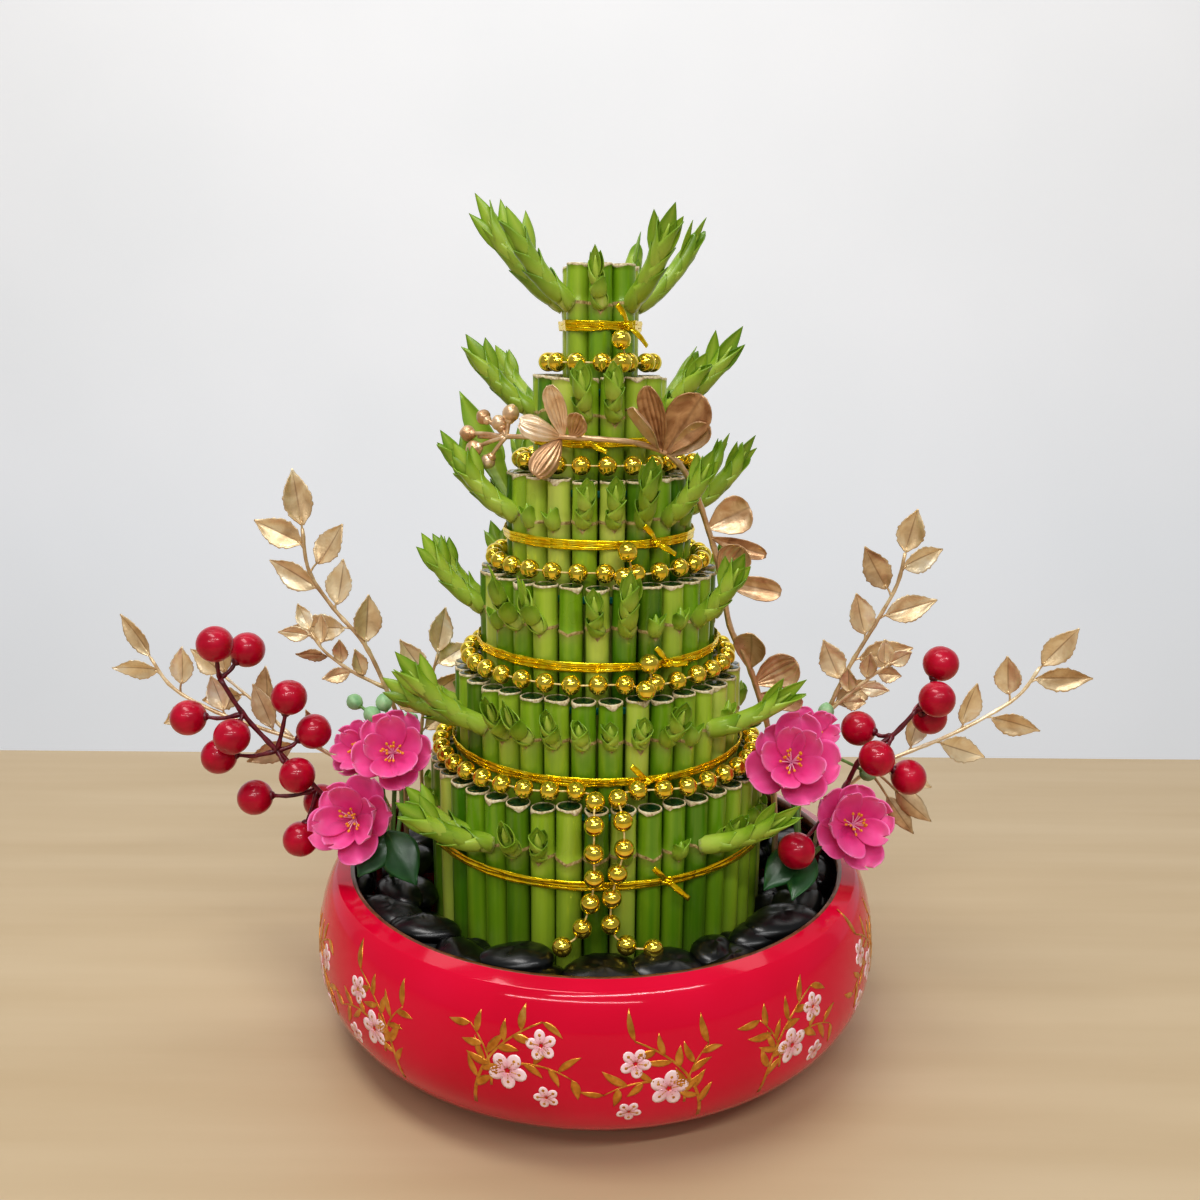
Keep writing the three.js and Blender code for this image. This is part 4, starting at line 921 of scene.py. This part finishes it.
def make_tier(tier, number):
    """A tier's stalks and shoots. The first draws are those that place the solids, the others are for
    looks."""
    random = draws(100 + number)
    looks = draws(7001 + 13 * number)
    stalks, shoots = Shell(), Shell()
    for i in range(tier["stalks"]):
        azimuth = (360 / tier["stalks"]) * (i + 0.5) - 180
        top = tier["top"] - STALK["uneven_top"] * random()
        chance, size = random(), random()
        twist = azimuth + SHOOT["twist"] * (random() - 0.5)
        tall = next((row[1:] for row in tier["tall"] if abs(row[0] - azimuth) < 1), None)
        bare = chance > tier["share"] or any(low < azimuth < high for low, high in tier["clear"])
        bare = bare and tall is None
        radius = STALK["radius"] - 0.1 - VARY["thin"] * looks()
        node = tier["node"] + VARY["bare_node" if bare else "node"] * (looks() - 0.5)
        budded = bare and looks() < VARY["buds"]
        dip = VARY["dip" if budded or not bare else "bare_dip"]
        shift = VARY["azimuth"] * (looks() - 0.5)
        place = polar(azimuth + shift, tier["ring"] - VARY["inward"] * looks(), 0)
        add_stalk(stalks, place, azimuth, node, top, radius, dip, looks)
        if budded:
            add_node_bud(shoots, azimuth, tier, node, looks)
        if bare:
            continue
        aside = abs(math.sin(math.radians(azimuth)))
        usual = tier["front"] + (tier["side"] - tier["front"]) * aside
        length = usual * (SHOOT["shortest"] + SHOOT["range"] * size)
        lean = SHOOT["front_lean"] + (tier["lean"] - SHOOT["front_lean"]) * aside
        if tall:
            length, twist, lean = tall
        add_shoot(shoots, shoot_route(tier, length, lean, azimuth, twist), length, twist, looks)
    if number == LONG_LEAF["tier"]:
        root, tip, width = LONG_LEAF["root"], LONG_LEAF["tip"], LONG_LEAF["width"]
        add_leaf(shoots, root, tip, (1, 0, 0.4), width, LEAF_LONG, arch=2)
    stalks.make(f"tier_{number}_stalks", STALK_PAINTS, "stalks_and_shoots", f"tier_{number}")
    shoots.make(f"tier_{number}_shoots", ["shoot_leaf"], "stalks_and_shoots", f"tier_{number}")


def make_centre_stalk():
    shell = Shell()
    add_stalk(shell, vec(0, 0, 0), 0, TIERS[-1]["node"], TIERS[-1]["top"] - 0.4, 5.2, 0.5, draws(900))
    shell.make("centre_cut_stalk", STALK_PAINTS, "stalks_and_shoots", "centre_stalk")


# ---- ties, bands and beads ----

def ring_route(tier, lift, wobble, phase):
    """A closed line pulled tight round a tier's stalks."""
    azimuths = np.linspace(-180, 180, 216, endpoint=False)
    step = 360 / tier["stalks"]
    reach = tier["ring"] + STALK["radius"] + lift
    off = np.mod(azimuths + 180, step) - step / 2
    radius = reach * math.cos(math.radians(step / 2)) / np.cos(np.radians(step / 2 - np.abs(off)))
    height = np.sin(np.radians(3 * azimuths) + phase) + 0.5 * np.sin(np.radians(7 * azimuths) + 2 * phase)
    return np.array([polar(a, r, h) for a, r, h in zip(azimuths, radius, wobble * height)])


def add_foil(shell, route, width, random):
    """A flat strip of foil, pinched and folded a little along its route."""
    steps = np.arange(len(route))
    along = unit_rows(np.gradient(route, axis=0))
    out = unit_rows(route * [1, 1, 0])
    up = unit_rows(np.cross(out, along))
    half = width / 2 * (1 + 0.12 * np.sin(steps * 0.7 + 6 * random()) * np.sin(steps * 0.19))
    fold = 0.16 * np.sin(steps * 0.31 + 6 * random())
    u = np.linspace(-1, 1, 5)
    bulge = 0.22 * (1 - u ** 2)
    grid = route[:, None] + up[:, None] * (half[:, None] * u)[..., None]
    grid = grid + out[:, None] * (bulge[None] + fold[:, None] * u)[..., None]
    shell.add(thick_sheet(grid, TIE["foil"]), 0, random())


def make_tie(tier, number):
    """Three strands with their overlap, a knot and two tails."""
    shell = Shell()
    random = draws(301 + number)
    turn = tier["knot"]
    for strand in range(3):
        route = ring_route(tier, TIE["lift"] + TIE["lift_more"] * strand, TIE["wobble"], 2.0 * strand)
        route[:, 2] += tier["tie"] + TIE["apart"] * (strand - 1)
        route = np.roll(route, -int((turn + 180) / 360 * len(route)), axis=0)
        add_foil(shell, route, TIE["strand"], random)
        overlap = np.roll(route, TIE["overlap"], axis=0)[:2 * TIE["overlap"] + 1]
        add_foil(shell, overlap, TIE["strand"], random)
    knot = polar(turn, tier["ring"] + STALK["radius"] + 1.2, tier["tie"])
    side, out = sideways(turn), outward(turn)
    for i in range(TIE["loops"]):
        swing = 2 * math.pi * i / TIE["loops"] + random()
        far = side * math.cos(swing) * 3.0 + UP * math.sin(swing) * 2.2
        route = smooth_route([knot - far * 0.4, knot + out * 1.6 + far * 0.3, knot + far], 8)
        add_foil(shell, route, TIE["loop"], random)
    bead_tops = TIERS[number - 2]["top"] + 2 * BEAD["radius"] + 2 if number > 1 else 0
    drop = max(-TIE["drop"], bead_tops - tier["tie"])
    for across, rise in ((-0.7, TIE["drop"]), (0.75, drop)):
        tip = knot + side * TIE["tail"] * across + UP * rise + out * TIE["out"]
        route = smooth_route([knot, (knot + tip) / 2 + out * 1.2, tip], 12)
        add_foil(shell, route, TIE["tail_width"], random)
    shell.make(f"tie_{number}_foil", ["gold_foil"], "gold_foil", f"tie_{number}")


def make_band(tier, number):
    shell = Shell()
    corner = corner_of(tier)
    inner = math.hypot(tier["ring"] + corner * math.sin(math.pi / 3), corner / 2) + 0.2
    height = TIERS[number - 2]["top"] - BAND["below"] + BAND["height"] / 2
    route = np.array([polar(a, inner, height) for a in np.linspace(-180, 180, 160, endpoint=False)])
    width, rise = BAND["thick"] / 2, BAND["height"] / 2
    section = [(width * (1 + math.cos(t)), rise * math.sin(t)) for t in all_round(10)]
    shell.add(loop(route, section))
    shell.make(f"band_{number}_rubber", ["teal_rubber"], "teal_rubber", f"band_{number}")


def string_points(number):
    """The points that a bead string runs through."""
    inside, outside = TIERS[number - 1], TIERS[number - 2]
    lowest = number == 2
    radius = reach_of(inside) + BEAD["radius"] + STRING["clear_lowest" if lowest else "clear"]
    height = outside["top"] + BEAD["radius"] + STRING["lift"]
    apart = math.degrees(STRING["half_join"] / radius)
    turns, join = STRING["turns"], inside["join"]
    points = [polar(join + apart + (360 - 2 * apart) * i / turns, radius, height) for i in range(turns + 1)]
    if lowest:
        return [*FRONT_RIGHT, *points, *FRONT_LEFT]
    lifted = polar(join + 2, radius + 2.5, height + 9)
    return [lifted, *points, polar(join - 1, radius + 2 * BEAD["radius"], height)]


def ball_profile(radius, steps):
    turn = np.pi * (np.arange(steps) + 0.5) / steps
    return [(radius * math.sin(t), -radius * math.cos(t)) for t in turn]


def make_beads(number):
    shell = Shell()
    random = draws(501 + number)
    line = smooth_line(string_points(number))
    beads = round(length_of(line) / BEAD["pitch"])
    spots = even_steps(line, beads)
    shell.add(tube(even_steps(line, beads * 6), BEAD["thread"], 6), 1)
    profile = ball_profile(BEAD["radius"] * 0.995, 14)
    for spot, way in zip(spots, np.gradient(spots, axis=0)):
        shell.add(turned(profile, 22, spot, way), 0, random())
    shell.make(f"beads_{number}_string", ["gold_bead", "bead_thread"], "gold_bead", f"beads_{number}")


# ---- sprays ----

SPRAY = {"steps": 6, "last_side": 0.955, "tip": 0.99, "lean": 0.9, "lean_more": 0.4, "nod": 0.5, "roll": 0.6}
PETAL_SHAPE = [(0, 0.22), (0.12, 0.42), (0.3, 0.76), (0.5, 0.97), (0.65, 1), (0.78, 0.94), (0.88, 0.79),
               (0.95, 0.56), (1, 0.14)]
# The whorls of a blossom: size, lift, cup, curl, and height over its seat.
WHORLS = [(1.0, 0.22, 0.24, -0.08, 0.0), (0.7, 0.5, 0.42, 0.16, 1.6)]
FILAMENT = [0.34, 0.3, 0.27, 0.25, 0.23, 0.22, 0.22]
ANTHER = [(0.1, -0.9), (0.5, -0.5), (0.62, 0.1), (0.4, 0.7), (0.1, 0.9)]
GREEN_CUP = [(0.2, 0), (2.6, -0.1), (2.9, -0.8), (1.9, -2.2), (0.5, -3)]
BERRY_COLLAR = [(0.2, 0), (1.9, 0.1), (2.2, 0.7), (1.4, 1.8), (0.4, 2.2)]
BUD = [(0.15, -1.0), (0.62, -0.8), (0.92, -0.4), (1.0, 0.0), (0.9, 0.42), (0.62, 0.78), (0.3, 0.98),
       (0.1, 1.08)]


def flat(y, points):
    """Points from x, z and, where there is a third number, a step out of the plane at y."""
    return [vec(x, y + sum(step), z) for x, z, *step in points]


def add_stem(shell, points, radius, taper=0.8, knuckle=0.0, slot=0, tone=0.5, sides=8):
    line = smooth_line(points)
    count = max(6, int(length_of(line) / 3.5))
    share = np.linspace(0, 1, count + 1)
    radii = radius * (1 - (1 - taper) * share) * (1 + knuckle * np.sin(share * count * 1.3) ** 8)
    shell.add(tube(even_steps(line, count), radii, sides), slot, tone)


def add_spray(shell, row, random, looks):
    """A stem with leaves on either side by turns and one at its end. The first share of the stem is bare."""
    route, leaves, bare, radius, length, width = row
    steps = SPRAY["steps"]
    joints = smooth_route(route, steps)
    line = smooth_route(route, 120)
    add_stem(shell, route, radius, 0.6, 0.3, tone=looks())
    for i in range(leaves + 1):
        last = i == leaves
        share = SPRAY["tip"] if last else bare + (SPRAY["last_side"] - bare) * i / (leaves - 1)
        joint = int(share * steps)
        along = unit(joints[joint + 1] - joints[joint])
        seat = joints[joint] + (joints[joint + 1] - joints[joint]) * (share * steps - joint)
        aside = unit(np.cross(along, FRONT)) * (-1 if i % 2 else 1)
        lean = 0.1 if last else SPRAY["lean"] + SPRAY["lean_more"] * random()
        way = unit(along + aside * lean + FRONT * SPRAY["nod"] * (random() - 0.5))
        root = seat - way * radius * 0.4
        tip = root + way * length * (0.8 + 0.3 * random())
        across = np.cross(along, FRONT) + FRONT * SPRAY["roll"] * (random() - 0.5)
        start = line[min(int(share * 120), 119)]
        foot = root + (tip - root) * 0.2
        add_stem(shell, [start, (start + foot) / 2 + along * 0.6, foot], 0.55, tone=looks(), sides=6)
        add_leaf(shell, root + (tip - root) * 0.13, tip, across, width, LEAF_OVATE, tone=looks(),
                 cup=0.25 + 0.2 * looks(), rib=0.6, crinkle=0.35, ragged=0.035, lengthwise=0,
                 rows=31, columns=17)


def add_berries(shell, trunk, twigs, random):
    """Berries on twigs. A twig starts at one of the trunk's last four points."""
    add_stem(shell, trunk, BERRY["wire"] * 1.15, 0.8, 0.35, 1)
    skin = [(0.4, -7.55), (1.2, -7.62), *ball_profile(BERRY["radius"], 16)[2:-2], (1.6, 7.5), (0.5, 7.2)]
    for fork, centre in twigs:
        start, centre = trunk[fork - 4], vec(*centre)
        way = unit(start - centre)
        elbow = start + (centre - start) * 0.45 + UP * -2.0 + FRONT * 1.0
        foot = centre + way * (BERRY["radius"] - 0.8)
        add_stem(shell, [start, elbow * 0.6 + (start + foot) * 0.2, foot], BERRY["wire"] * 0.9, 0.8, 0.5, 1)
        tone = random()
        shell.add(turned(skin, 26, centre, -way), 0, tone)
        shell.add(turned(BERRY_COLLAR, 10, centre + way * (BERRY["radius"] - 1.0), way), 1, tone)


def add_petal(shell, centre, axis, way, radius, lift, cup, curl, random):
    """A broad cupped petal with a softly waved, paler edge."""
    side = np.cross(axis, way)
    share = np.sin(np.linspace(0, np.pi / 2, 16))[:, None]
    u = np.linspace(-1, 1, 17)[None, :]
    half = read_off(share, PETAL_SHAPE) * radius * 0.49
    reach = radius * share * (1 - 0.04 * np.exp(-(u / 0.25) ** 2) * share ** 6)
    rise = radius * (lift * share ** 1.5 + cup * u ** 2 * share + curl * share ** 4)
    rise = rise + 0.08 * radius * np.sin(2.6 * u + 2 * share + 6 * random()) * share ** 2
    grid = centre + way * reach[..., None] + side * (u * half)[..., None] + axis * rise[..., None]
    edge = np.maximum(np.abs(u) ** 4 * share ** 0.5, share ** 7)
    colour = (0.66 * share + 0.24 * edge).ravel()
    shell.add(thick_sheet(grid, 0.4), 0, random(), np.tile(colour, 2))


def make_blossom(node, centre, facing, radius):
    """Two whorls of five petals round a bunch of stamens, on a small green cup."""
    shell = Shell()
    random = draws(int(radius * 100) + int(abs(centre[0])))
    centre, axis = vec(*centre), unit(vec(*facing))
    right = unit(np.cross(UP, axis))
    top = np.cross(axis, right)
    for whorl, (size, lift, cup, curl, height) in enumerate(WHORLS):
        for i in range(BLOSSOM["petals"]):
            turn = 10 * radius + 72 * (i + 0.42 + 0.5 * whorl) + BLOSSOM["twist"] * (random() - 0.5)
            turn = math.radians(turn)
            way = right * math.cos(turn) + top * math.sin(turn)
            seat = centre + axis * (height + 0.4 * (i % 2))
            span = radius * size * (BLOSSOM["shortest"] + BLOSSOM["range"] * random())
            raised = lift + BLOSSOM["lift"] * random() - 0.05
            add_petal(shell, seat, axis, way, span, raised, cup, curl, random)
    foot = centre + axis * 1.5
    for i in range(BLOSSOM["stamens"]):
        turn = 2.4 * i + random()
        lean = 0.25 + 0.55 * random()
        way = unit(axis + (right * math.cos(turn) + top * math.sin(turn)) * lean)
        tip = foot + way * (radius * (0.36 + 0.14 * random()))
        line = smooth_route([foot, (foot + tip) / 2 + axis * 0.8, tip], 6)
        shell.add(tube(line, FILAMENT, 6), 1, random(), np.append(np.repeat(np.linspace(0, 1, 7), 6), [0, 1]))
        shell.add(turned(ANTHER, 8, tip, way), 2, random())
    shell.add(turned(GREEN_CUP, 12, centre, axis), 3, random())
    shell.make(f"{node}_petals", ["pink_petal", "filament", "anther", "green_stem"], "petal_pink", node)


def add_bud(shell, centre, way, size, slot, tone, lobes=5):
    """A closed bud with shallow grooves between its lobes."""
    points, faces = turned(BUD, 20, (0, 0, 0), way)
    across = points - np.outer(points @ way, way)
    right = unit(np.cross(way, FRONT if abs(way[1]) < 0.9 else UP))
    angle = np.arctan2(across @ np.cross(way, right), across @ right)
    points = points - across * (0.14 * (1 - np.abs(np.cos(angle * lobes / 2))))[:, None]
    shell.add((points * size + centre, faces), slot, tone)


def make_blossom_stem(hand, group):
    """The green wire that the blossoms, buds and dark leaves of a group stand on."""
    shell = Shell()
    random = draws(group["stem_seed"])
    knee = vec(*group["wire"][:2], 78)
    add_stem(shell, [group["wire"], knee], 1.2, 1.0)
    add_stem(shell, [knee - UP * 2, *group["bud_wire"]], 1.1)
    for _, centre, facing, _ in group["blossoms"]:
        axis = unit(vec(*facing))
        seat = vec(*centre) - axis * BLOSSOM["seat"]
        add_stem(shell, [knee - UP, seat - axis * 9, seat - axis * 1.5], 1.05, 0.9)
    fork = vec(*group["bud_wire"][-1])
    for bud in group["buds"]:
        way = unit(bud - fork)
        add_stem(shell, [fork, fork + (bud - fork) * 0.5 + UP * 0.6, bud], 0.75, 0.9)
        add_bud(shell, bud, way, 3.8 + 0.4 * random(), 1, random())
        add_bud(shell, bud - way * 2.2, way, 2.0, 0, random())
    for root, tip, width in group["leaves"]:
        root, tip = vec(*root), vec(*tip)
        add_stem(shell, [knee - UP * 3, root + (tip - root) * 0.05], 1.0)
        add_leaf(shell, root, tip, (1, 0, 0.2), width * 1.05, LEAF_OVATE, 2, random(), arch=1.2, cup=0.16,
                 rib=0.4, thick=0.4, crinkle=0.3)
    node = f"blossom_stem_{hand}"
    shell.make(f"{node}_wire", ["green_stem", "mint_bud", "dark_leaf"], "green_wire", node)


# Each gold spray is a list of stems: route, leaves, share of the stem that is bare, radius, and a leaf's
# length and width. A berry has the trunk's point that it starts from, and its centre. A blossom has its
# place's name, centre, facing and radius. A leaf has its root, tip and width.
LEFT = {
    "seeds": (11, 1201),
    "sprays": {
        "tall": [
            (flat(12, [(-90, 42), (-90, 80), (-90, 105), (-91, 127), (-98, 148), (-107, 168), (-120, 184),
                       (-130, 201), (-132, 220)]), 6, 0.67, 1.3, 28, 13),
            (flat(12, [(-97, 146), (-112, 155, -3), (-124, 166, -6), (-129, 174, -6)]),
             6, 0.25, 0.9, 15, 7.5),
        ],
        "low": [
            (flat(4, [(-95, 42), (-95, 80), (-98, 95), (-110, 108), (-128, 120), (-153, 129), (-176, 138),
                      (-193, 149), (-201, 162)]), 8, 0.5, 1.2, 24, 10.5),
            (flat(4, [(-139, 124.5), (-153, 136, 5), (-172, 152, 8)]), 3, 0.4, 0.9, 24, 11.5),
        ],
        "back": [
            (flat(30, [(-85, 42), (-85, 80), (-85, 115), (-83, 131), (-76, 157)]), 5, 0.66, 1.1, 24, 11.5),
        ],
    },
    "foot": [],
    "trunk": flat(-14, [(-98, 42), (-98, 66), (-99, 79), (-112, 91), (-124, 107), (-141, 125), (-155, 142),
                        (-164, 158)]),
    "berry_seed": 61,
    "berries": [
        (3, (-163, -20, 175)), (3, (-155, -3, 168)), (2, (-179, -14, 140)), (2, (-157, -24, 135)),
        (1, (-166, -16, 123)), (1, (-135, -12, 149)), (1, (-126, -8, 132)), (1, (-131, -20, 116)),
        (0, (-152, -14, 103)), (0, (-131, -20, 86)), (0, (-125, -6, 98)),
    ],
    "blossoms": [
        ("front", (-103, -31, 101), (-0.15, -0.9, 0.35), 18.5),
        ("top", (-85, -38, 133), (0.1, -0.85, 0.5), 17.5),
        ("back", (-105, -4, 122), (-0.3, -0.8, 0.4), 13.5),
    ],
    "stem_seed": 71,
    "wire": (-90, -26, 42),
    "bud_wire": [(-88, -8, 100), (-92, -4, 130)],
    "buds": [(-110, 4, 142), (-101, -2, 138), (-96, 0, 143), (-84, -4, 136)],
    "leaves": [((-90, -33, 96), (-76, -45, 77), 17), ((-91, -33, 95), (-101, -42, 79), 15)],
}
RIGHT = {
    "seeds": (23, 1303),
    "sprays": {
        "tall": [
            (flat(12, [(95, 42), (95, 80), (96, 103), (102, 124), (107.5, 140), (115, 158), (126, 179),
                       (134.5, 197), (137, 211)]), 7, 0.56, 1.3, 27, 12.5),
            (flat(12, [(105, 135), (120, 151, -4), (131, 161, -6)]), 6, 0.25, 0.9, 15, 8),
        ],
        "low": [
            (flat(4, [(102, 42), (102, 76), (109, 95), (126, 112), (140, 119), (158, 127), (176, 137),
                      (191, 148), (199, 161)]), 7, 0.5, 1.2, 26, 12),
        ],
    },
    "foot": [((126, 4, 112), (153, -3, 89), 9), ((125, 4, 111), (146, -1, 82), 8)],
    "trunk": flat(-13, [(99, 42), (99, 66), (100, 79), (106, 92), (112, 113), (118, 125), (130, 134),
                        (140, 146)]),
    "berry_seed": 67,
    "berries": [
        (3, (151, -6, 165)), (3, (146, -20, 153)), (3, (148, -5, 140)), (2, (117, -4, 134)),
        (2, (121, -23, 127)), (1, (138, -14, 115)), (0, (84, -45, 94)),
    ],
    "blossoms": [
        ("front", (110, -29, 99), (0.1, -0.92, 0.38), 19),
        ("top", (81, -40, 131), (-0.1, -0.85, 0.5), 18.5),
        ("back", (94, -5, 131), (0.3, -0.8, 0.5), 13),
    ],
    "stem_seed": 83,
    "wire": (90, -26, 42),
    "bud_wire": [(92, -5, 100), (102, -2, 122)],
    "buds": [(104, 5, 139), (123, -2, 112)],
    "leaves": [((89, -32, 91), (71, -45, 76), 15), ((92, -32, 88), (82, -52, 75), 13)],
}


def add_foot_leaf(shell, root, tip, width):
    """A small dark leaf on a thin stem at the foot of a low spray."""
    root, tip = vec(*root), vec(*tip)
    foot = root + (tip - root) * 0.42
    add_stem(shell, [root, (root + foot) / 2 + UP * 0.5, foot], 0.7, tone=0.05, sides=6)
    add_leaf(shell, foot, tip, (1, 0, 1), width * 1.15, LEAF_OVATE, tone=0.0, arch=0.8, rib=0.4, thick=0.3,
             crinkle=0.2, ragged=0.02, lengthwise=0)


def make_pick_group(hand, group):
    random, looks = (draws(seed) for seed in group["seeds"])
    for part, rows in group["sprays"].items():
        sprays = Shell()
        for row in rows:
            add_spray(sprays, row, random, looks)
        for leaf in group["foot"] if part == "low" else []:
            add_foot_leaf(sprays, *leaf)
        node = f"gold_spray_{hand}_{part}"
        sprays.make(f"{node}_leaves", ["champagne_gold"], "gold_leaf", node)
    berries = Shell()
    add_berries(berries, group["trunk"], group["berries"], draws(group["berry_seed"]))
    berries.make(f"berries_{hand}_spray", ["lacquered_berry", "maroon_stem"], "berry_red", f"berries_{hand}")
    for spot, centre, facing, radius in group["blossoms"]:
        make_blossom(f"blossom_{hand}_{spot}", centre, facing, radius)
    make_blossom_stem(hand, group)


COPPER = {
    "pleated": (0, 4, 5, 6, 7, 10, 13),
    "route": [
        (83, 3, 42), (83, 3, 80), (81, 2, 104), (77, -3, 132), (71, -8, 151), (64, -13, 169), (57, -14, 182),
        (53, -15, 200), (50, -15, 213), (45, -16, 228), (39, -22, 243), (30, -28, 256), (16, -32, 262),
        (0, -35, 264), (-16, -33, 264.5), (-30, -26, 264), (-50, -12, 263),
    ],
    "leaves": [
        ((25, -30, 258.5), (18.5, -40, 285), 11), ((24, -30.5, 259), (13, -44, 277), 11),
        ((26, -29.5, 258), (40, -39, 281.5), 17), ((28, -29, 257), (43, -38, 270), 10),
        ((-14, -33, 264), (-19, -39, 285), 9), ((-15, -33, 264.5), (-31, -39, 271), 11),
        ((-15, -33, 264), (-25, -41, 250), 11), ((-11, -33.5, 264), (-7, -44, 274), 9),
        ((46, -16, 226), (63, -16, 235), 16), ((47, -16, 222), (71, -14, 214), 7),
        ((52, -15, 205), (60, -20, 219), 14), ((53, -15, 203), (78, -14, 198), 10),
        ((66, -12, 164), (65, -21, 182), 14), ((69, -9, 156), (86, -14, 168), 16),
        ((71, -8, 151), (90, -12, 148), 10),
    ],
    "fork": vec(-38, -21, 263.5),
    "buds": [
        (-55, -9, 264), (-48, -12, 271), (-36, -20, 273), (-46, -16, 253), (-41, -18, 269), (-52, -14, 258),
    ],
}


def make_copper_branch():
    """The copper branch, whose round leaves are pleated in part, and the bunch of buds at its end."""
    shell = Shell()
    random = draws(45)
    add_stem(shell, COPPER["route"], 1.4, 0.75, 0.2)
    for i, (root, tip, width) in enumerate(COPPER["leaves"]):
        pleats = 0.3 if i in COPPER["pleated"] else 0.0
        add_leaf(shell, root, tip, (1, 0, -1), width * 1.05, LEAF_ROUND, tone=random(), arch=1.5, cup=0.4,
                 pleats=pleats, crinkle=0.2, lengthwise=0, rows=19, columns=29)
    for bud in COPPER["buds"]:
        way = unit(bud - COPPER["fork"])
        add_stem(shell, [COPPER["fork"], (COPPER["fork"] + bud) / 2 + UP * 0.5, bud], 0.95, 0.9)
        add_bud(shell, bud, way, 3.1 + 0.5 * random(), 0, random(), 4)
        add_bud(shell, bud - way * 2.4, way, 2.1, 0, random(), 4)
    shell.make("copper_branch_leaves", ["rose_copper"], "copper_leaf", "copper_branch")


# ---- the whole ----

bpy.context.scene.view_settings.view_transform = "Standard"
bpy.context.scene.view_settings.look = "Medium High Contrast"
for make_paints in (bowl_paints, pebble_paint, stalk_paints, shoot_paint, tie_and_bead_paints, spray_paints,
                    blossom_paints, stage_paints):
    make_paints()
make_camera()
make_stage()
make_bowl()
make_pebbles()
for number, tier in enumerate(TIERS, start=1):
    make_tier(tier, number)
    make_tie(tier, number)
    if number > 1:
        make_band(tier, number)
        make_beads(number)
make_centre_stalk()
make_pick_group("left", LEFT)
make_pick_group("right", RIGHT)
make_copper_branch()
